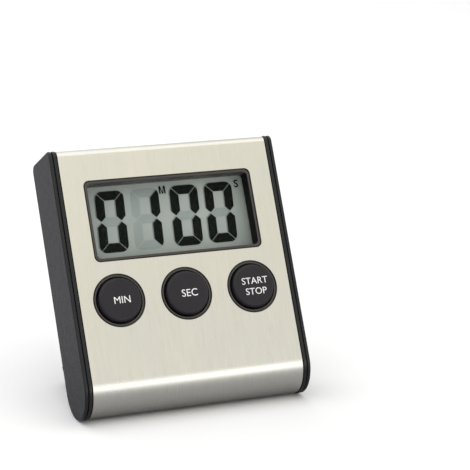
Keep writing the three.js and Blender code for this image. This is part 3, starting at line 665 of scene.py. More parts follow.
def display_grey():
    """The clear state of the liquid crystal: grey green, a little uneven."""
    paint = Paint("display_grey", Specular_IOR_Level=0.05)
    cloud = paint.spread(paint.noise((16, 16, 12), 3), 0.0, 1.0)
    base = paint.blend(cloud, rgb(0.34, 0.37, 0.345), rgb(0.38, 0.41, 0.38))
    sheen = paint.spread(paint.noise(3, 3), 0.42, 0.55)
    texture = paint.noise(0.3)
    return paint.set(Base_Color=base, Roughness=sheen, Normal=paint.bump(texture, 0.002))


def matt_plastic(name, colour, roughness, gloss, **texture):
    """Plastic whose gloss is weaker than usual. gloss is its specular level."""
    return plastic(name, colour, roughness, Specular_IOR_Level=gloss, **texture)


def segment_ink(name, colour):
    return matt_plastic(name, colour, 0.5, 0.05, grain=0.3, depth=0.001, variation=0.04)


SIDE_COLOUR = rgb(0.0095, 0.0095, 0.0105)
BLACK_COLOUR = rgb(0.009, 0.008, 0.010)
RIM_COLOUR = rgb(0.040, 0.036, 0.031)
# painted shade: near-black paint for the side walls of the window well
WELL_SHADE_COLOUR = rgb(0.006, 0.006, 0.006)
KEY_COLOUR = rgb(0.014, 0.012, 0.015)
SMOKE_COLOUR = rgb(0.034, 0.034, 0.042)
FILM_COLOUR = rgb(0.52, 0.60, 0.66)

STEEL = brushed_steel()
# the cheeks' edges are lightened strongly: a painted highlight line along their roundings
SIDE = matt_plastic("side_plastic", SIDE_COLOUR, 0.28, 0.36, grain=0.18, depth=0.002, wear=5.0)
# the back's edges are lightened: a painted highlight along the roundings, partly rubbed wear
BLACK = plastic("black_plastic", BLACK_COLOUR, 0.36, grain=0.22, depth=0.005, wear=1.2)
RIM_PLASTIC = plastic("rim_plastic", RIM_COLOUR, 0.33, grain=0.3, depth=0.003)
WELL_SHADE_PAINT = matt_plastic("well_painted_shade", WELL_SHADE_COLOUR, 0.6, 0.12, grain=0.22, depth=0.005)
KEY_PLASTIC = matt_plastic("key_plastic", KEY_COLOUR, 0.4, 0.3, grain=0.2, depth=0.004)
SMOKE = plastic("smoke_plastic", SMOKE_COLOUR, 0.16, grain=1.5, depth=0.004, Coat_Weight=0.5)
INK = plastic("white_ink", rgb(0.80, 0.80, 0.80), 0.5, grain=0.1, depth=0.002, variation=0.05)
LIT = segment_ink("lit_segment", rgb(0.005, 0.007, 0.005))
UNLIT = segment_ink("unlit_segment", rgb(0.285, 0.32, 0.305))
SHADED = segment_ink("segment_shade", rgb(0.19, 0.21, 0.20))
SILICONE = plastic("silicone", rgb(0.16, 0.16, 0.165), 0.75, grain=0.5, depth=0.01)
EPOXY = plastic("epoxy", rgb(0.01, 0.01, 0.01), 0.25, grain=1.5, depth=0.02)
RED_WIRE = plastic("red_wire", rgb(0.42, 0.012, 0.012), 0.4)
BLACK_WIRE = plastic("black_wire", rgb(0.012, 0.012, 0.012), 0.4)
NICKEL = metal("nickel", rgb(0.60, 0.62, 0.64), 0.33)
MAGNET_FILM = plastic("magnet_film", FILM_COLOUR, 0.4, grain=0.5, depth=0.003, Metallic=0.4)
FOIL = metal("foil", rgb(0.62, 0.64, 0.62), 0.35)
BRASS = metal("brass", rgb(0.70, 0.50, 0.20), 0.33)
ZINC = metal("zinc_steel", rgb(0.34, 0.34, 0.36), 0.38)
BOARD = board_lacquer()
LENS_CLEAR = clear_lens()
DISPLAY = display_grey()

# ---- Front of the case ----

KEY_PLACES = {"min": -KEY_SPACING, "sec": 0.0, "start_stop": KEY_SPACING}
KEY_SIDES = 128


def window_opening(inset=0.0):
    low = WINDOW_LOW + inset
    high = WINDOW_HIGH - inset
    return rounded_rectangle(WINDOW_HALF - inset, low, high, WINDOW_CORNER - inset / 2, 12)


def at_keys(radius, stations):
    """A round bar or cutter at each key."""
    return [prism_y(circle(radius, x, 0, KEY_SIDES), stations) for x in KEY_PLACES.values()]


def case_slab(half, inset):
    """The outline of the case, drawn in by inset, carried from -half to half."""
    return prism_x(side_outline, [(-half, inset), (half, inset)])


def make_steel_face():
    face = bar_x(sheet_outline(), INNER_HALF)
    through = flared(2 * SHEET, 0, SHEET_EDGE)
    cut(face, [prism_y(window_opening(), through), *at_keys(KEY_HOLE_RADIUS, through)])
    piece("steel_face", face, STEEL, "case", ["front_panel"])


def make_housing():
    """The moulded shell behind the sheet, with its window frame, key collars and screw posts."""
    inner_y = SKIN + WALL
    shell = case_slab(INNER_HALF, SKIN)
    lip = bar_x(end_band(END_RADIUS, END_RADIUS - SKIN - WELD, LIP_START, 180), INNER_HALF)
    union(shell, [lip])
    behind = block(-WIDTH, WIDTH, PARTING_Y, BEHIND, -WIDTH, WIDTH)
    cut(shell, [case_slab(CAVITY_HALF, inner_y), behind])
    foot_y = inner_y - WELD
    well = prism_y(window_opening(GAP), rounded(RIM_FRONT_Y, WELL_BACK_Y, EDGE))
    collar = rounded(RIM_FRONT_Y, foot_y, CRISP_EDGE)
    union(shell, [well, *at_keys(COLLAR_RADIUS, collar)])
    through_frame = flared(WELL_BACK_Y + WALL, RIM_FRONT_Y, CRISP_EDGE)
    through_collar = flared(inner_y + WALL, RIM_FRONT_Y, SMALL_EDGE)
    window = prism_y(window_opening(GAP + RIM), through_frame)
    cut(shell, [window, *at_keys(COLLAR_INNER_RADIUS, through_collar)])
    union(shell, [
        tube(CASE_POST_RADIUS, POST_BORE_RADIUS, foot_y, FRONT_POST_Y, x, CASE_SCREW_Z, 32)
        for x in CASE_SCREWS.values()
    ])
    piece("front_shell", shell, RIM_PLASTIC, "case", ["front_housing"])
    # the side walls of the window well get painted shade
    paint_well_side_shade(shell.data)


def paint_well_side_shade(mesh):
    """The faces that look sideways, such as the side walls of the window well, get a near-black
    paint: painted shade, so these walls look darker than the top and bottom walls.
    """
    sideways = 0.6
    mesh.materials.append(WELL_SHADE_PAINT)
    for face in mesh.polygons:
        if abs(face.normal.x) > sideways:
            face.material_index = 1


def make_side_caps():
    """Two cheeks, each with a groove all round and pegs that reach into the case."""
    groove_end = CAP_GROOVE_X + CAP_GROOVE
    stations = [
        *rounded(CAP_INNER_X, CAP_GROOVE_X, SOFT_EDGE, SOFT_EDGE, 5),
        (CAP_GROOVE_X + SLIVER, -CAP_GROOVE_DEPTH),
        (groove_end - SLIVER, -CAP_GROOVE_DEPTH),
        *rounded(groove_end, WIDTH / 2, CAP_GROOVE_EDGE, CAP_OUTER_EDGE, 8),
    ]
    right = prism_x(side_outline, [(x, -CAP_PROUD - grow) for x, grow in stations])
    peg_x = CAP_INNER_X - PEG_LENGTH
    pegs = [
        rod_x(PEG_RADIUS, peg_x, CAP_GROOVE_X, END_RADIUS, z, edge=SOFT_EDGE)
        for z in PEG_HEIGHTS
    ]
    union(right, pegs)
    left = mirrored(right)
    piece("right_cheek", right, SIDE, "case", ["right_side_cap"])
    piece("left_cheek", left, SIDE, "case", ["left_side_cap"])


# ---- Display ----

DIGIT_WIDTH = 10.15
DIGIT_HEIGHT = 20.95
STROKE = 3.1
SEGMENT_GAP = 0.14
DIGIT_CORNER = 2.5
DIGIT_SLANT = math.tan(math.radians(2.8))
DIGIT_Z = 27.75
DIGIT_PLACES = (-19.75, -7.3, 6.85, 19.45)
SEGMENTS_OF = {"0": "abcdef", "1": "bc"}
READING = "0100"
INK_DEPTH = 0.04
UNLIT_Y = GLASS_Y - 0.01
SHADE_Y = GLASS_Y - 0.03
LIT_Y = GLASS_Y - 0.1
SHADE_SHIFT = -0.35
SHADE_RISE = 0.6  # how far up a shade moves for each millimetre to the left
LETTER_HEIGHT = 2.7
LETTER_STROKE = 0.5
LETTER_HALF_SHARE = 0.86  # half the width of the M over half its height
MINUTES_PLACE = (-0.3, 37.2)
SECONDS_PLACE = (26.75, 37.1)
SECONDS_WEIGHT = 0.08
CAPITAL_SHARE = 0.73  # height of a capital over the typeface's size
LINE_SPACING = 1.12


def clipped(points, a, b, c):
    """The part of a convex outline where a x + b z > c."""
    kept = []
    for (x0, z0), (x1, z1) in zip(points, points[1:] + points[:1]):
        d0 = a * x0 + b * z0 - c
        d1 = a * x1 + b * z1 - c
        if d0 > 0:
            kept.append((x0, z0))
        if d0 * d1 < 0:
            share = d0 / (d0 - d1)
            kept.append((x0 + share * (x1 - x0), z0 + share * (z1 - z0)))
    return kept


def segment_outline(name):
    """One of the seven segments, a to g, about the middle of its digit."""
    half = DIGIT_WIDTH / 2
    high = DIGIT_HEIGHT / 2
    inner = half - STROKE
    gap = SEGMENT_GAP * math.sqrt(2)
    shape = rounded_rectangle(half, -high, high, DIGIT_CORNER, 6)()
    if name in "ad":
        mitre = high - STROKE - inner + gap
        cuts = [(0, 1, high - STROKE), (1, 1, mitre), (-1, 1, mitre)]
    elif name == "g":
        tip = half - STROKE / 2 - gap
        cuts = [(0, 1, -STROKE / 2), (0, -1, -STROKE / 2)]
        cuts += [(a, b, -tip) for a in (1, -1) for b in (1, -1)]
    else:
        middle = half - STROKE / 2
        mitre = inner - high + STROKE + gap
        cuts = [(1, 0, inner), (1, -1, mitre), (1, 1, middle + gap), (-1, 1, gap - middle)]
    for a, b, c in cuts:
        shape = clipped(shape, a, b, c)
    flip_x = -1 if name in "ef" else 1
    flip_z = -1 if name in "cde" else 1
    return [(x * flip_x, z * flip_z) for x, z in shape]


def display_plates(outlines, y):
    """Thin plates, INK_DEPTH deep, with their backs at y."""
    return joined([prism_y(fixed(points), [(y - INK_DEPTH, 0), (y, 0)]) for points in outlines])


def placed_segment(name, x, shift=0.0):
    """A segment of the digit at x, leaning as the digits do."""
    middle_x = x + shift
    middle_z = DIGIT_Z - shift * SHADE_RISE
    return [(middle_x + a + b * DIGIT_SLANT, middle_z + b) for a, b in segment_outline(name)]


def minutes_letter(x, z):
    """The outline of a capital M whose middle is at (x, z)."""
    high = LETTER_HEIGHT / 2
    half = LETTER_HALF_SHARE * high
    stem = half - LETTER_STROKE
    right = [
        (0, 0.9 * LETTER_STROKE - high),
        (stem - 0.3 * LETTER_STROKE, high),
        (half, high),
        (half, -high),
        (stem, -high),
        (stem, high - 1.7 * LETTER_STROKE),
        (0.4 * LETTER_STROKE, -high),
    ]
    left = [(-a, b) for a, b in reversed(right[1:])]
    return [(x + a, z + b) for a, b in right + left]


def pane(half, half_height, corner, y0, y1, edge):
    """A flat plate behind the window."""
    outline = rounded_rectangle(half, WINDOW_Z - half_height, WINDOW_Z + half_height, corner)
    return prism_y(outline, rounded(y0, y1, edge, edge))


def make_lens():
    """The clear pane in the window. It casts no shadow, so the display behind it stays bright."""
    half_height = (WINDOW_HIGH - WINDOW_LOW) / 2 + GAP
    lens = pane(WINDOW_HALF + GAP, half_height, 1, LENS_Y, LENS_Y + LENS, THIN_EDGE)
    piece("window_lens", lens, LENS_CLEAR, "case", ["display_lens"])
    lens.visible_shadow = False
    lens.visible_diffuse = False


def make_glass():
    glass = pane(GLASS_HALF, GLASS_HALF_HEIGHT, 0.3, GLASS_Y, GLASS_Y + GLASS, 0.08)
    piece("display_glass", glass, DISPLAY, "case", ["lcd_glass"])


def make_segments():
    """The lit and unlit segments, and the soft shades that lit ones cast on the display's back."""
    lit, unlit, shade = [], [], []
    for digit, x in zip(READING, DIGIT_PLACES):
        for name in "abcdefg":
            if name in SEGMENTS_OF[digit]:
                lit.append(placed_segment(name, x))
                shade.append(placed_segment(name, x, SHADE_SHIFT))
            else:
                unlit.append(placed_segment(name, x))
    piece("unlit_segments", display_plates(unlit, UNLIT_Y), UNLIT, "case")
    piece("segment_shades", display_plates(shade, SHADE_Y), SHADED, "case")
    piece("lit_segments", display_plates(lit, LIT_Y), LIT, "case")


def make_display_letters():
    minutes = display_plates([minutes_letter(*MINUTES_PLACE)], LIT_Y)
    piece("display_letter_m", minutes, LIT, "case")
    x, z = SECONDS_PLACE
    seconds = word_plate("S", LETTER_HEIGHT, x, z, LIT_Y, SECONDS_WEIGHT)
    piece("display_letter_s", seconds, LIT, "case")


def word_plate(text, height, x, z, y, weight=0.0):
    """A word as a thin plate that faces the front, in Blender's own plain typeface."""
    curve = bpy.data.curves.new("word", "FONT")
    curve.body = text
    curve.size = height / CAPITAL_SHARE
    curve.align_x = "CENTER"
    curve.align_y = "CENTER"
    curve.space_line = LINE_SPACING
    curve.extrude = INK_DEPTH / 2
    curve.offset = weight
    curve.resolution_u = 4
    word = bpy.data.objects.new("word", curve)
    bpy.context.scene.collection.objects.link(word)
    depsgraph = bpy.context.evaluated_depsgraph_get()
    mesh = bpy.data.meshes.new_from_object(word.evaluated_get(depsgraph))
    bpy.data.objects.remove(word)
    made = bpy.data.objects.new("word", mesh)
    bpy.context.scene.collection.objects.link(made)
    mesh.transform(Matrix.Translation((x, y, z)) @ Matrix.Rotation(math.radians(90), 4, "X"))
    return made


# ---- Keys ----

LEGENDS = {"min": ("MIN", 2.45), "sec": ("SEC", 2.55), "start_stop": ("START\nSTOP", 2.35)}
LEGEND_SHIFT = (0.45, -0.3)
CROWN_STATIONS = (0.02, 0.25, 0.5, 0.75)  # shares of the flat part's radius


def make_key(name, x):
    """A hollow key with a softly rounded and very slightly crowned top."""
    top = -KEY_HEIGHT
    rim = SKIN + GAP + WALL
    flat = KEY_RADIUS - KEY_ROUNDING
    steps = 8
    profile = [(flat * share, top + KEY_CROWN * share**2) for share in CROWN_STATIONS]
    for i in range(steps + 1):
        turn = math.radians(90 * i / steps)
        drop = KEY_ROUNDING * (1 - math.cos(turn))
        profile.append((flat + KEY_ROUNDING * math.sin(turn), top + KEY_CROWN + drop))
    profile += [
        (KEY_RADIUS, rim),
        (KEY_FLANGE_RADIUS, rim),
        (KEY_FLANGE_RADIUS, rim + KEY_FLANGE),
        (KEY_RADIUS - KEY_WALL, rim + KEY_FLANGE),
        (KEY_RADIUS - KEY_WALL, 0),
        (SLIVER, 0),
    ]
    body = name + "_button"
    key = lathe(profile, x, 0, KEY_SIDES)
    piece(name + "_cap", key, KEY_PLASTIC, body, [body])
    dx, dz = LEGEND_SHIFT
    words, height = LEGENDS[name]
    legend = word_plate(words, height, x + dx, dz, top - INK_DEPTH / 2 + 0.01)
    piece(name + "_legend", legend, INK, body)


# ---- Back of the case ----

SCOOP_FLOOR_Y = CHANNEL_Y - BUMP_HEIGHT - GAP
PIVOT_POCKET_Y = HINGE_Y - BARREL_RADIUS - GAP
PIVOT_POCKET_TOP = HINGE_Z + BARREL_RADIUS + GAP


def across(z0, z1):
    """A cutter past the whole width and depth of the case, between two heights."""
    return block(-WIDTH, WIDTH, AHEAD, BEHIND + 2 * OVERRUN, z0, z1)


def stand_recess():
    """Cutters for the U that the stand folds into, with a scoop for its bump."""
    channel = arch(CHANNEL_HALF, CHANNEL_BOTTOM, CHANNEL_TOP, CHANNEL_CORNER)
    outer = prism_y(channel, flared(CHANNEL_Y, DEPTH, EDGE))
    island = arch(ISLAND_HALF, CHANNEL_BOTTOM - WALL, ISLAND_TOP, ISLAND_CORNER)
    upwards = rounded(CHANNEL_Y - OVERRUN, DEPTH, 0, EDGE)
    cut(outer, [prism_y(island, [*upwards, (BEHIND + OVERRUN, -EDGE)])])
    notch = prism_y(circle(NOTCH_RADIUS, 0, NOTCH_Z, 96), flared(CHANNEL_Y, DEPTH, EDGE))
    cut(notch, [across(-WIDTH, ISLAND_TOP + SHORT_OVERRUN)])
    hollow = flared(SCOOP_FLOOR_Y, CHANNEL_Y, EDGE)
    scoop = prism_y(circle(BUMP_BASE + GAP, 0, BUMP_Z, 96), hollow)
    cut(scoop, [across(CHANNEL_TOP, TOP_Z)])
    pocket = block(
        ISLAND_HALF, CHANNEL_HALF, PIVOT_POCKET_Y, BEHIND, CHANNEL_BOTTOM, PIVOT_POCKET_TOP
    )
    return [outer, notch, scoop, *both_sides(pocket)]


def recess_backing():
    """What closes the recess on the inside."""
    back = INSIDE_Y + WELD
    half = CHANNEL_HALF + CHANNEL_WALL
    low = CHANNEL_BOTTOM - CHANNEL_WALL
    high = CHANNEL_TOP + CHANNEL_WALL
    channel = arch(half, low, high, CHANNEL_CORNER)
    plate = prism_y(channel, [(CHANNEL_Y - CHANNEL_WALL, 0), (back, 0)])
    scoop_radius = BUMP_BASE + GAP + CHANNEL_WALL
    scoop = rod(scoop_radius, SCOOP_FLOOR_Y - CHANNEL_WALL, back, 0, BUMP_Z)
    cut(scoop, [across(high, TOP_Z)])
    inner = ISLAND_HALF - CHANNEL_WALL
    front = PIVOT_POCKET_Y - CHANNEL_WALL
    top = PIVOT_POCKET_TOP + CHANNEL_WALL
    return [plate, scoop, *both_sides(block(inner, half, front, back, low, top))]


def door_outline(grow):
    half = DOOR_HALF + grow
    return rounded_rectangle(half, DOOR_LOW - grow, DOOR_HIGH + grow, DOOR_CORNER)


def battery_well():
    """The frame round the battery cover and the cup for the cell."""
    stations = [(DOOR_Y - GAP - CHANNEL_WALL, 0), (INSIDE_Y + WELD, 0)]
    door_frame = prism_y(door_outline(DOOR_FRAME), stations)
    return [door_frame, rod(CUP_RADIUS + CUP_WALL, CUP_FLOOR_Y, INSIDE_Y, 0, CELL_Z)]


def hook_blocks(grow, front, back):
    """Four small blocks: the hooks of the battery cover, or with grow the slots for them."""
    low, high = HOOK_X
    blocks = []
    for z in HOOK_PLACES:
        top = z + HOOK + grow
        blocks += both_sides(block(low - grow, high + grow, front, back, z - grow, top))
    return blocks


def battery_openings():
    """Cutters for the battery cover, its cell, its contact and its hooks."""
    half = SEAT_HALF + GAP
    return [
        prism_y(door_outline(GAP), flared(DOOR_Y - GAP, DEPTH, SMALL_EDGE)),
        rod(CUP_RADIUS, CUP_FLOOR_Y + CUP_WALL, BEHIND, 0, CELL_Z, 96),
        block(-half, half, SEAT_Y - GAP, DOOR_Y, SEAT_LOW - GAP, SEAT_HIGH + GAP),
        block(
            -CONTACT_SLOT_HALF, CONTACT_SLOT_HALF, CONTACT_SLOT_Y, DOOR_Y,
            CONTACT_SLOT_LOW, CONTACT_SLOT_HIGH,
        ),
        *hook_blocks(GAP, CUP_FLOOR_Y, DOOR_Y),
    ]


def keyhole():
    """Cutters for the hole that the timer hangs by."""
    front = INSIDE_Y - BACK_WALL
    head = prism_y(circle(KEYHOLE_RADIUS, 0, KEYHOLE_Z, 96), flared(front, DEPTH, EDGE))
    radius = KEYHOLE_SLOT_RADIUS
    slot = rounded_rectangle(radius, KEYHOLE_Z, KEYHOLE_SLOT_TOP, radius, 12)
    return [head, prism_y(slot, flared(front, DEPTH, EDGE))]


def sound_holes():
    """Cutters for a triangle of small holes, the longest row at the top."""
    through = flared(SOUND_HOLE_Y, DEPTH, FINE_EDGE)
    holes = []
    for row in range(SOUND_ROWS):
        count = SOUND_ROWS - row
        z = SOUND_TOP_Z - row * SOUND_ROW_STEP
        for i in range(count):
            x = (i - (count - 1) / 2) * SOUND_SPACING
            holes.append(prism_y(circle(SOUND_HOLE_RADIUS, x, z, 16), through))
    return holes


def hinge_ears():
    """The ears between the stand's knuckles, bored for its pins."""
    ears = []
    foot = PIVOT_POCKET_Y - WELD
    radius = BARREL_RADIUS - WELD
    for slot in (0, 1):
        low = STAND_INNER_HALF + FINGER + slot * (FINGER + SLOT) + GAP
        high = low + SLOT - 2 * GAP
        ear = rod_x(radius, low, high, HINGE_Y, HINGE_Z, 48, THIN_EDGE)
        union(ear, [block(low, high, foot, HINGE_Y, HINGE_Z - radius, HINGE_Z + radius)])
        cut(ear, [rod_x(PIN_RADIUS + GAP, 0, WIDTH, HINGE_Y, HINGE_Z)])
        ears += both_sides(ear)
    return ears


def back_fittings():
    """What stands on the inside of the back: screw posts, the sounder's ring and two tongues."""
    back = INSIDE_Y + WELD
    posts = [
        rod(CASE_POST_RADIUS, BACK_POST_Y, back, x, CASE_SCREW_Z) for x in CASE_SCREWS.values()
    ]
    bore = SOUNDER_RADIUS - SOUNDER_WALL
    sounder_ring = tube(SOUNDER_RADIUS, bore, SOUNDER_RING_Y, back, 0, SOUNDER_Z, 64)
    tongues = both_sides(block(*TONGUE_X, TONGUE_Y, back, *TONGUE_Z))
    return [sounder_ring, *tongues, *posts]


def screw_holes():
    """Cutters for the two screw recesses and the bores below them."""
    recess = flared(RECESS_FLOOR_Y, DEPTH, EDGE)
    holes = []
    for x in CASE_SCREWS.values():
        holes.append(prism_y(circle(RECESS_RADIUS, x, CASE_SCREW_Z), recess))
        holes.append(rod(POST_BORE_RADIUS, BACK_POST_Y - SHORT_OVERRUN, BEHIND, x, CASE_SCREW_Z))
    return holes


def mould_mark():
    """A cutter for the small blind hole at the top corner."""
    blind = flared(DEPTH - MOULD_MARK_DEPTH, DEPTH, SMALL_EDGE)
    return prism_y(circle(MOULD_MARK_RADIUS, *MOULD_MARK_PLACE, 32), blind)


def make_back_cover():
    cover = case_slab(INNER_HALF, 0)
    ahead = block(-WIDTH, WIDTH, AHEAD, PARTING_Y + GAP, -WIDTH, WIDTH)
    cut(cover, [ahead, case_slab(CAVITY_HALF, BACK_WALL)])
    union(cover, [*recess_backing(), *battery_well(), *back_fittings()])
    openings = [*stand_recess(), *keyhole(), *battery_openings()]
    openings += [*screw_holes(), *sound_holes(), mould_mark()]
    cut(cover, openings)
    union(cover, hinge_ears())
    piece("rear_shell", cover, BLACK, "case", ["back_cover"])


def cross_slots(x, z, floor, top):
    """Cutters for a cross drive at (x, z)."""
    wide, narrow = SCREW_RADIUS, SCREW_CROSS_HALF
    return [
        block(x - a, x + a, floor, top, z - b, z + b) for a, b in ((wide, narrow), (narrow, wide))
    ]


def make_case_screws():
    seat = RECESS_FLOOR_Y + GAP
    profile = [
        (SCREW_RADIUS - 0.1, seat - SCREW_LENGTH),
        (SCREW_RADIUS, seat - SCREW_LENGTH + 0.2),
        (SCREW_RADIUS, seat),
        (SCREW_HEAD_RADIUS, seat),
        (SCREW_HEAD_RADIUS, seat + SCREW_HEAD - 0.5),
        (SCREW_HEAD_RADIUS - 0.2, seat + SCREW_HEAD - 0.2),
        (SCREW_HEAD_TOP_RADIUS, seat + SCREW_HEAD),
    ]
    cross = (seat + SCREW_CROSS_FLOOR, seat + 2 * OVERRUN)
    for side, x in CASE_SCREWS.items():
        made = lathe(profile, x, CASE_SCREW_Z, 48)
        cut(made, cross_slots(x, CASE_SCREW_Z, *cross))
        piece("cross_screw_" + side, made, ZINC, "case", ["case_screw_" + side])


def make_battery_door():
    """The lid with its raised lower ledge, its hooks and the pocket for the magnet."""
    back = DOOR_Y + WELD
    door = prism_y(door_outline(0.0), rounded(DOOR_Y, DEPTH, 0, CRISP_EDGE))
    ledge = rounded_rectangle(DOOR_HALF, DOOR_LOW, DOOR_LEDGE_Z, DOOR_LEDGE)
    step = prism_y(ledge, rounded(DOOR_Y + GAP, DEPTH + DOOR_LEDGE, 0, CRISP_EDGE))
    seat = block(-SEAT_HALF, SEAT_HALF, SEAT_Y, back, SEAT_LOW, SEAT_HIGH)
    union(door, [step, seat, *hook_blocks(0.0, HOOK_Y, back)])
    low = MAGNET_Z - MAGNET_HALF_HEIGHT
    high = MAGNET_Z + MAGNET_HALF_HEIGHT
    pocket = rounded_rectangle(MAGNET_HALF + GAP, low - GAP, high + GAP, GAP)
    cut(door, [prism_y(pocket, flared(MAGNET_Y - GAP, DEPTH, FINE_EDGE))])
    piece("battery_door", door, BLACK, "battery_cover", ["battery_cover"])
    back = MAGNET_Y + MAGNET_THICKNESS
    bar = block(-MAGNET_HALF, MAGNET_HALF, MAGNET_Y, back, low, high, EDGE)
    piece("magnet_bar", bar, MAGNET_FILM, "battery_cover", ["magnet"])


# ---- Stand ----


def bump_cone(radius0, radius1, y0, y1):
    return lathe([(radius0, y0), (radius1, y1)], 0, BUMP_S)


def round_marks(surface, places):
    """Cutters for the rings that ejector pins leave in the stand."""
    inner = ROUND_MARK_RADIUS - ROUND_MARK_WIDTH
    floor = surface + ROUND_MARK_DEPTH
    marks = []
    for x, z in places:
        marks += both_sides(tube(ROUND_MARK_RADIUS, inner, surface - OVERRUN, floor, x, z))
    return marks


def long_marks(surface, z):
    """Cutters for the two shallow oval hollows in the bar of the stand."""
    low = z - LONG_MARK_HALF_HEIGHT
    high = z + LONG_MARK_HALF_HEIGHT
    shallow = rounded_rectangle(LONG_MARK_HALF, low, high, LONG_MARK_CORNER)
    stations = [(surface - OVERRUN, GAP), (surface, GAP), (surface + LONG_MARK_DEPTH, 0)]
    marks = []
    for side in (-1, 1):
        mark = prism_y(shallow, stations)
        mark.data.transform(Matrix.Translation((side * LONG_MARK_X, 0, 0)))
        marks.append(mark)
    return marks


def knuckle_slots(reach):
    """Cutters for the gaps between the fingers of each arm."""
    slots = []
    for index in (0, 1):
        low = STAND_INNER_HALF + FINGER + index * (FINGER + SLOT)
        slots += both_sides(block(low, low + SLOT, -reach, reach, -reach, SLOT_LENGTH))
    return slots


def make_stand():
    """Drawn folded up about its hinge line: z runs up the arms, y out of the back."""
    half = STAND_THICKNESS / 2
    reach = 2 * STAND_THICKNESS
    outline = arch(STAND_HALF, 0, STAND_LENGTH, STAND_CORNER)
    plate = prism_y(outline, rounded(-half, half, SOFT_EDGE, SOFT_EDGE))
    inside = arch(STAND_INNER_HALF, -reach, STAND_LENGTH - STAND_BAR, 2)
    widening = [(half - EDGE, 0), (half, EDGE), (reach, EDGE)]
    narrowing = [(-y, grow) for y, grow in reversed(widening)]
    gap = prism_y(inside, narrowing + widening)
    barrel = rod_x(BARREL_RADIUS, STAND_INNER_HALF, STAND_HALF, 0, 0, 64, SMALL_EDGE)
    cut(plate, [gap])
    bump = bump_cone(BUMP_TOP, BUMP_BASE, -half - BUMP_HEIGHT, WELD - half)
    cut(bump, [block(-STAND_HALF, STAND_HALF, -reach, reach, STAND_LENGTH, 2 * STAND_LENGTH)])
    union(plate, [bump, *both_sides(barrel)])
    bump_floor = BUMP_WALL - half - BUMP_HEIGHT
    hollow = bump_cone(BUMP_TOP - BUMP_WALL, BUMP_BASE - BUMP_WALL, bump_floor, half + WELD)
    bore = rod_x(PIN_RADIUS + GAP, -WIDTH, WIDTH, 0, 0)
    arm_x = (STAND_INNER_HALF + STAND_HALF) / 2
    bar_z = STAND_LENGTH - STAND_BAR / 2
    rings = round_marks(-half, [(arm_x, ARM_MARK_Z), (BAR_MARK_X, bar_z)])
    cut(plate, [hollow, *knuckle_slots(reach), bore, *rings, *long_marks(-half, bar_z)])
    piece("fold_out_stand", plate, SMOKE, "stand", ["stand"], HINGE)


def make_hinge_pins():
    for side, low, high in (
        ("left", GAP - STAND_HALF, -STAND_INNER_HALF - GAP),
        ("right", STAND_INNER_HALF + GAP, STAND_HALF - GAP),
    ):
        pin = rod_x(PIN_RADIUS, low, high, HINGE_Y, HINGE_Z, 32, SMALL_EDGE)
        piece("pin_" + side, pin, ZINC, "case", [side + "_hinge_pin"])


# ---- Inside ----

BOARD_CORNERS = ("top_left", "top_right", "bottom_left", "bottom_right")
INSIDE_NODES = (
    (FOIL, ["lcd_reflector"]),
    (SILICONE, ["lcd_connector_top", "lcd_connector_bottom", "keypad_mat"]),
    (SILICONE, [name + "_key_pad" for name in KEY_PLACES]),
    (BOARD, ["circuit_board"]),
    (EPOXY, ["controller_chip"]),
    (BRASS, ["piezo_disc"]),
    (RED_WIRE, ["sounder_wire_red"]),
    (BLACK_WIRE, ["sounder_wire_black"]),
    (NICKEL, ["quartz_crystal", "coin_cell", "positive_contact", "negative_contact"]),
    (ZINC, ["board_screw_" + corner for corner in BOARD_CORNERS]),
)


def paint_inside():
    for material, names in INSIDE_NODES:
        for name in names:
            mesh = frame["nodes"][name].data
            mesh.materials.clear()
            mesh.materials.append(material)


# ---- Studio ----

LIGHT_AIM = Vector((0, 0, 0.04))
FLOOR_HALF = 4.0
FLOOR_WHITE = rgb(0.95, 0.95, 0.95)
# painted shade: the grey that reflections see in place of the white floor
REFLECTION_SHADE_GREY = rgb(0.345, 0.345, 0.365)
CARD_HEIGHT = 0.00005
SURROUNDINGS = 0.74  # brightness of the white studio round the object
CAMERA_AZIMUTH = -22.99
CAMERA_ELEVATION = 15.47
CAMERA_ROLL = 1.04
CAMERA_AIM = Vector((0.02112, -0.00443, 0.05385))
CAMERA_DISTANCE = 0.6619


def towards(azimuth, elevation):
    """The direction at an azimuth from the front and an elevation, in degrees."""
    turn = math.radians(azimuth)
    rise = math.radians(elevation)
    level = math.cos(rise)
    return Vector((math.sin(turn) * level, -math.cos(turn) * level, math.sin(rise)))


def area_light(name, direction, distance, size, radiance, colour=(1, 1, 1)):
    """A softbox that faces the object from a direction given as (azimuth, elevation)."""
    way = towards(*direction)
    data = bpy.data.lights.new(name, "AREA")
    data.shape = "RECTANGLE"
    data.size, data.size_y = size
    data.energy = radiance * math.pi * size[0] * size[1]
    data.color = colour
    lamp = bpy.data.objects.new(name, data)
    lamp.location = LIGHT_AIM + way * distance
    lamp.rotation_euler = (-way).to_track_quat("-Z", "Y").to_euler()
    bpy.context.scene.collection.objects.link(lamp)


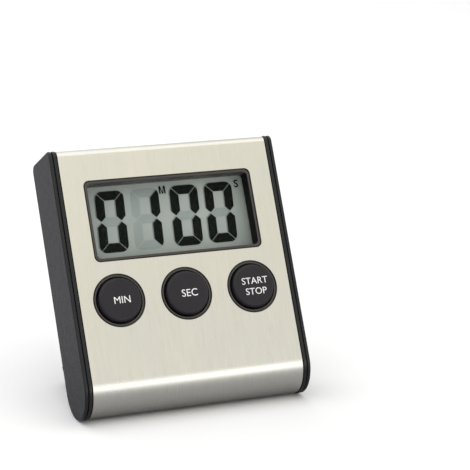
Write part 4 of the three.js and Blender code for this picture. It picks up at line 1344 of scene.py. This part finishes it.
def floor_plane(name, height, colour):
    bm = bmesh.new()
    signs = ((-1, -1), (1, -1), (1, 1), (-1, 1))
    corners = [(FLOOR_HALF * a, FLOOR_HALF * b, height) for a, b in signs]
    bm.faces.new([bm.verts.new(corner) for corner in corners])
    floor = solid_object(bm)
    floor.name = name
    paint = Paint(name + "_paper")
    cloud = paint.spread(paint.noise(60, 3), 0.0, 1.0)
    base = paint.blend(cloud, scaled_colour(colour, 0.98), colour)
    floor.data.materials.append(paint.set(Base_Color=base, Roughness=paint.spread(cloud, 0.8, 0.9)))
    return floor


def make_floor():
    """A white floor, and a grey card on it that only the gloss of the steel and plastic sees:
    painted shade, so that reflections show a darker floor than the camera does.
    """
    white = floor_plane("floor", 0.0, FLOOR_WHITE)
    white.visible_glossy = False
    # the card is painted shade seen in reflections only
    card = floor_plane("floor_reflection_shade", CARD_HEIGHT, REFLECTION_SHADE_GREY)
    card.visible_camera = False
    card.visible_diffuse = False
    card.visible_shadow = False


def make_lights():
    """A white studio with softboxes, whose reflections draw the bends of the sheet."""
    area_light("face_box", (27.7, 44), 1.4, (1.2, 0.6), 0.15, (1.0, 0.83, 0.1))
    area_light("low_box", (26, 10), 1.4, (1.4, 0.46), 1.35)
    area_light("top_box", (-60, 78), 1.5, (2.8, 2.8), 0.67)
    area_light("edge_box", (74, 24), 1.4, (0.55, 0.9), 0.5)
    area_light("back_box", (-160, 48), 1.4, (1.4, 0.3), 2.2)
    world = bpy.data.worlds.new("studio")
    world.use_nodes = True
    background = world.node_tree.nodes["Background"]
    background.inputs["Color"].default_value = rgb(1, 1, 1)
    background.inputs["Strength"].default_value = SURROUNDINGS
    bpy.context.scene.world = world
    bpy.context.scene.view_settings.view_transform = "Standard"


def make_camera():
    back = towards(CAMERA_AZIMUTH, CAMERA_ELEVATION)
    data = bpy.data.cameras.new("camera")
    data.lens = 150
    data.sensor_width = 36
    camera = bpy.data.objects.new("camera", data)
    camera.location = CAMERA_AIM + back * CAMERA_DISTANCE
    roll = Euler((0, 0, math.radians(CAMERA_ROLL))).to_quaternion()
    camera.rotation_euler = ((-back).to_track_quat("-Z", "Y") @ roll).to_euler()
    bpy.context.scene.collection.objects.link(camera)
    bpy.context.scene.camera = camera


make_camera()
make_lights()
make_floor()
make_steel_face()
make_housing()
make_side_caps()
make_lens()
make_glass()
make_segments()
make_display_letters()
for key_name, key_x in KEY_PLACES.items():
    make_key(key_name, key_x)
make_back_cover()
make_case_screws()
make_battery_door()
make_stand()
make_hinge_pins()
paint_inside()
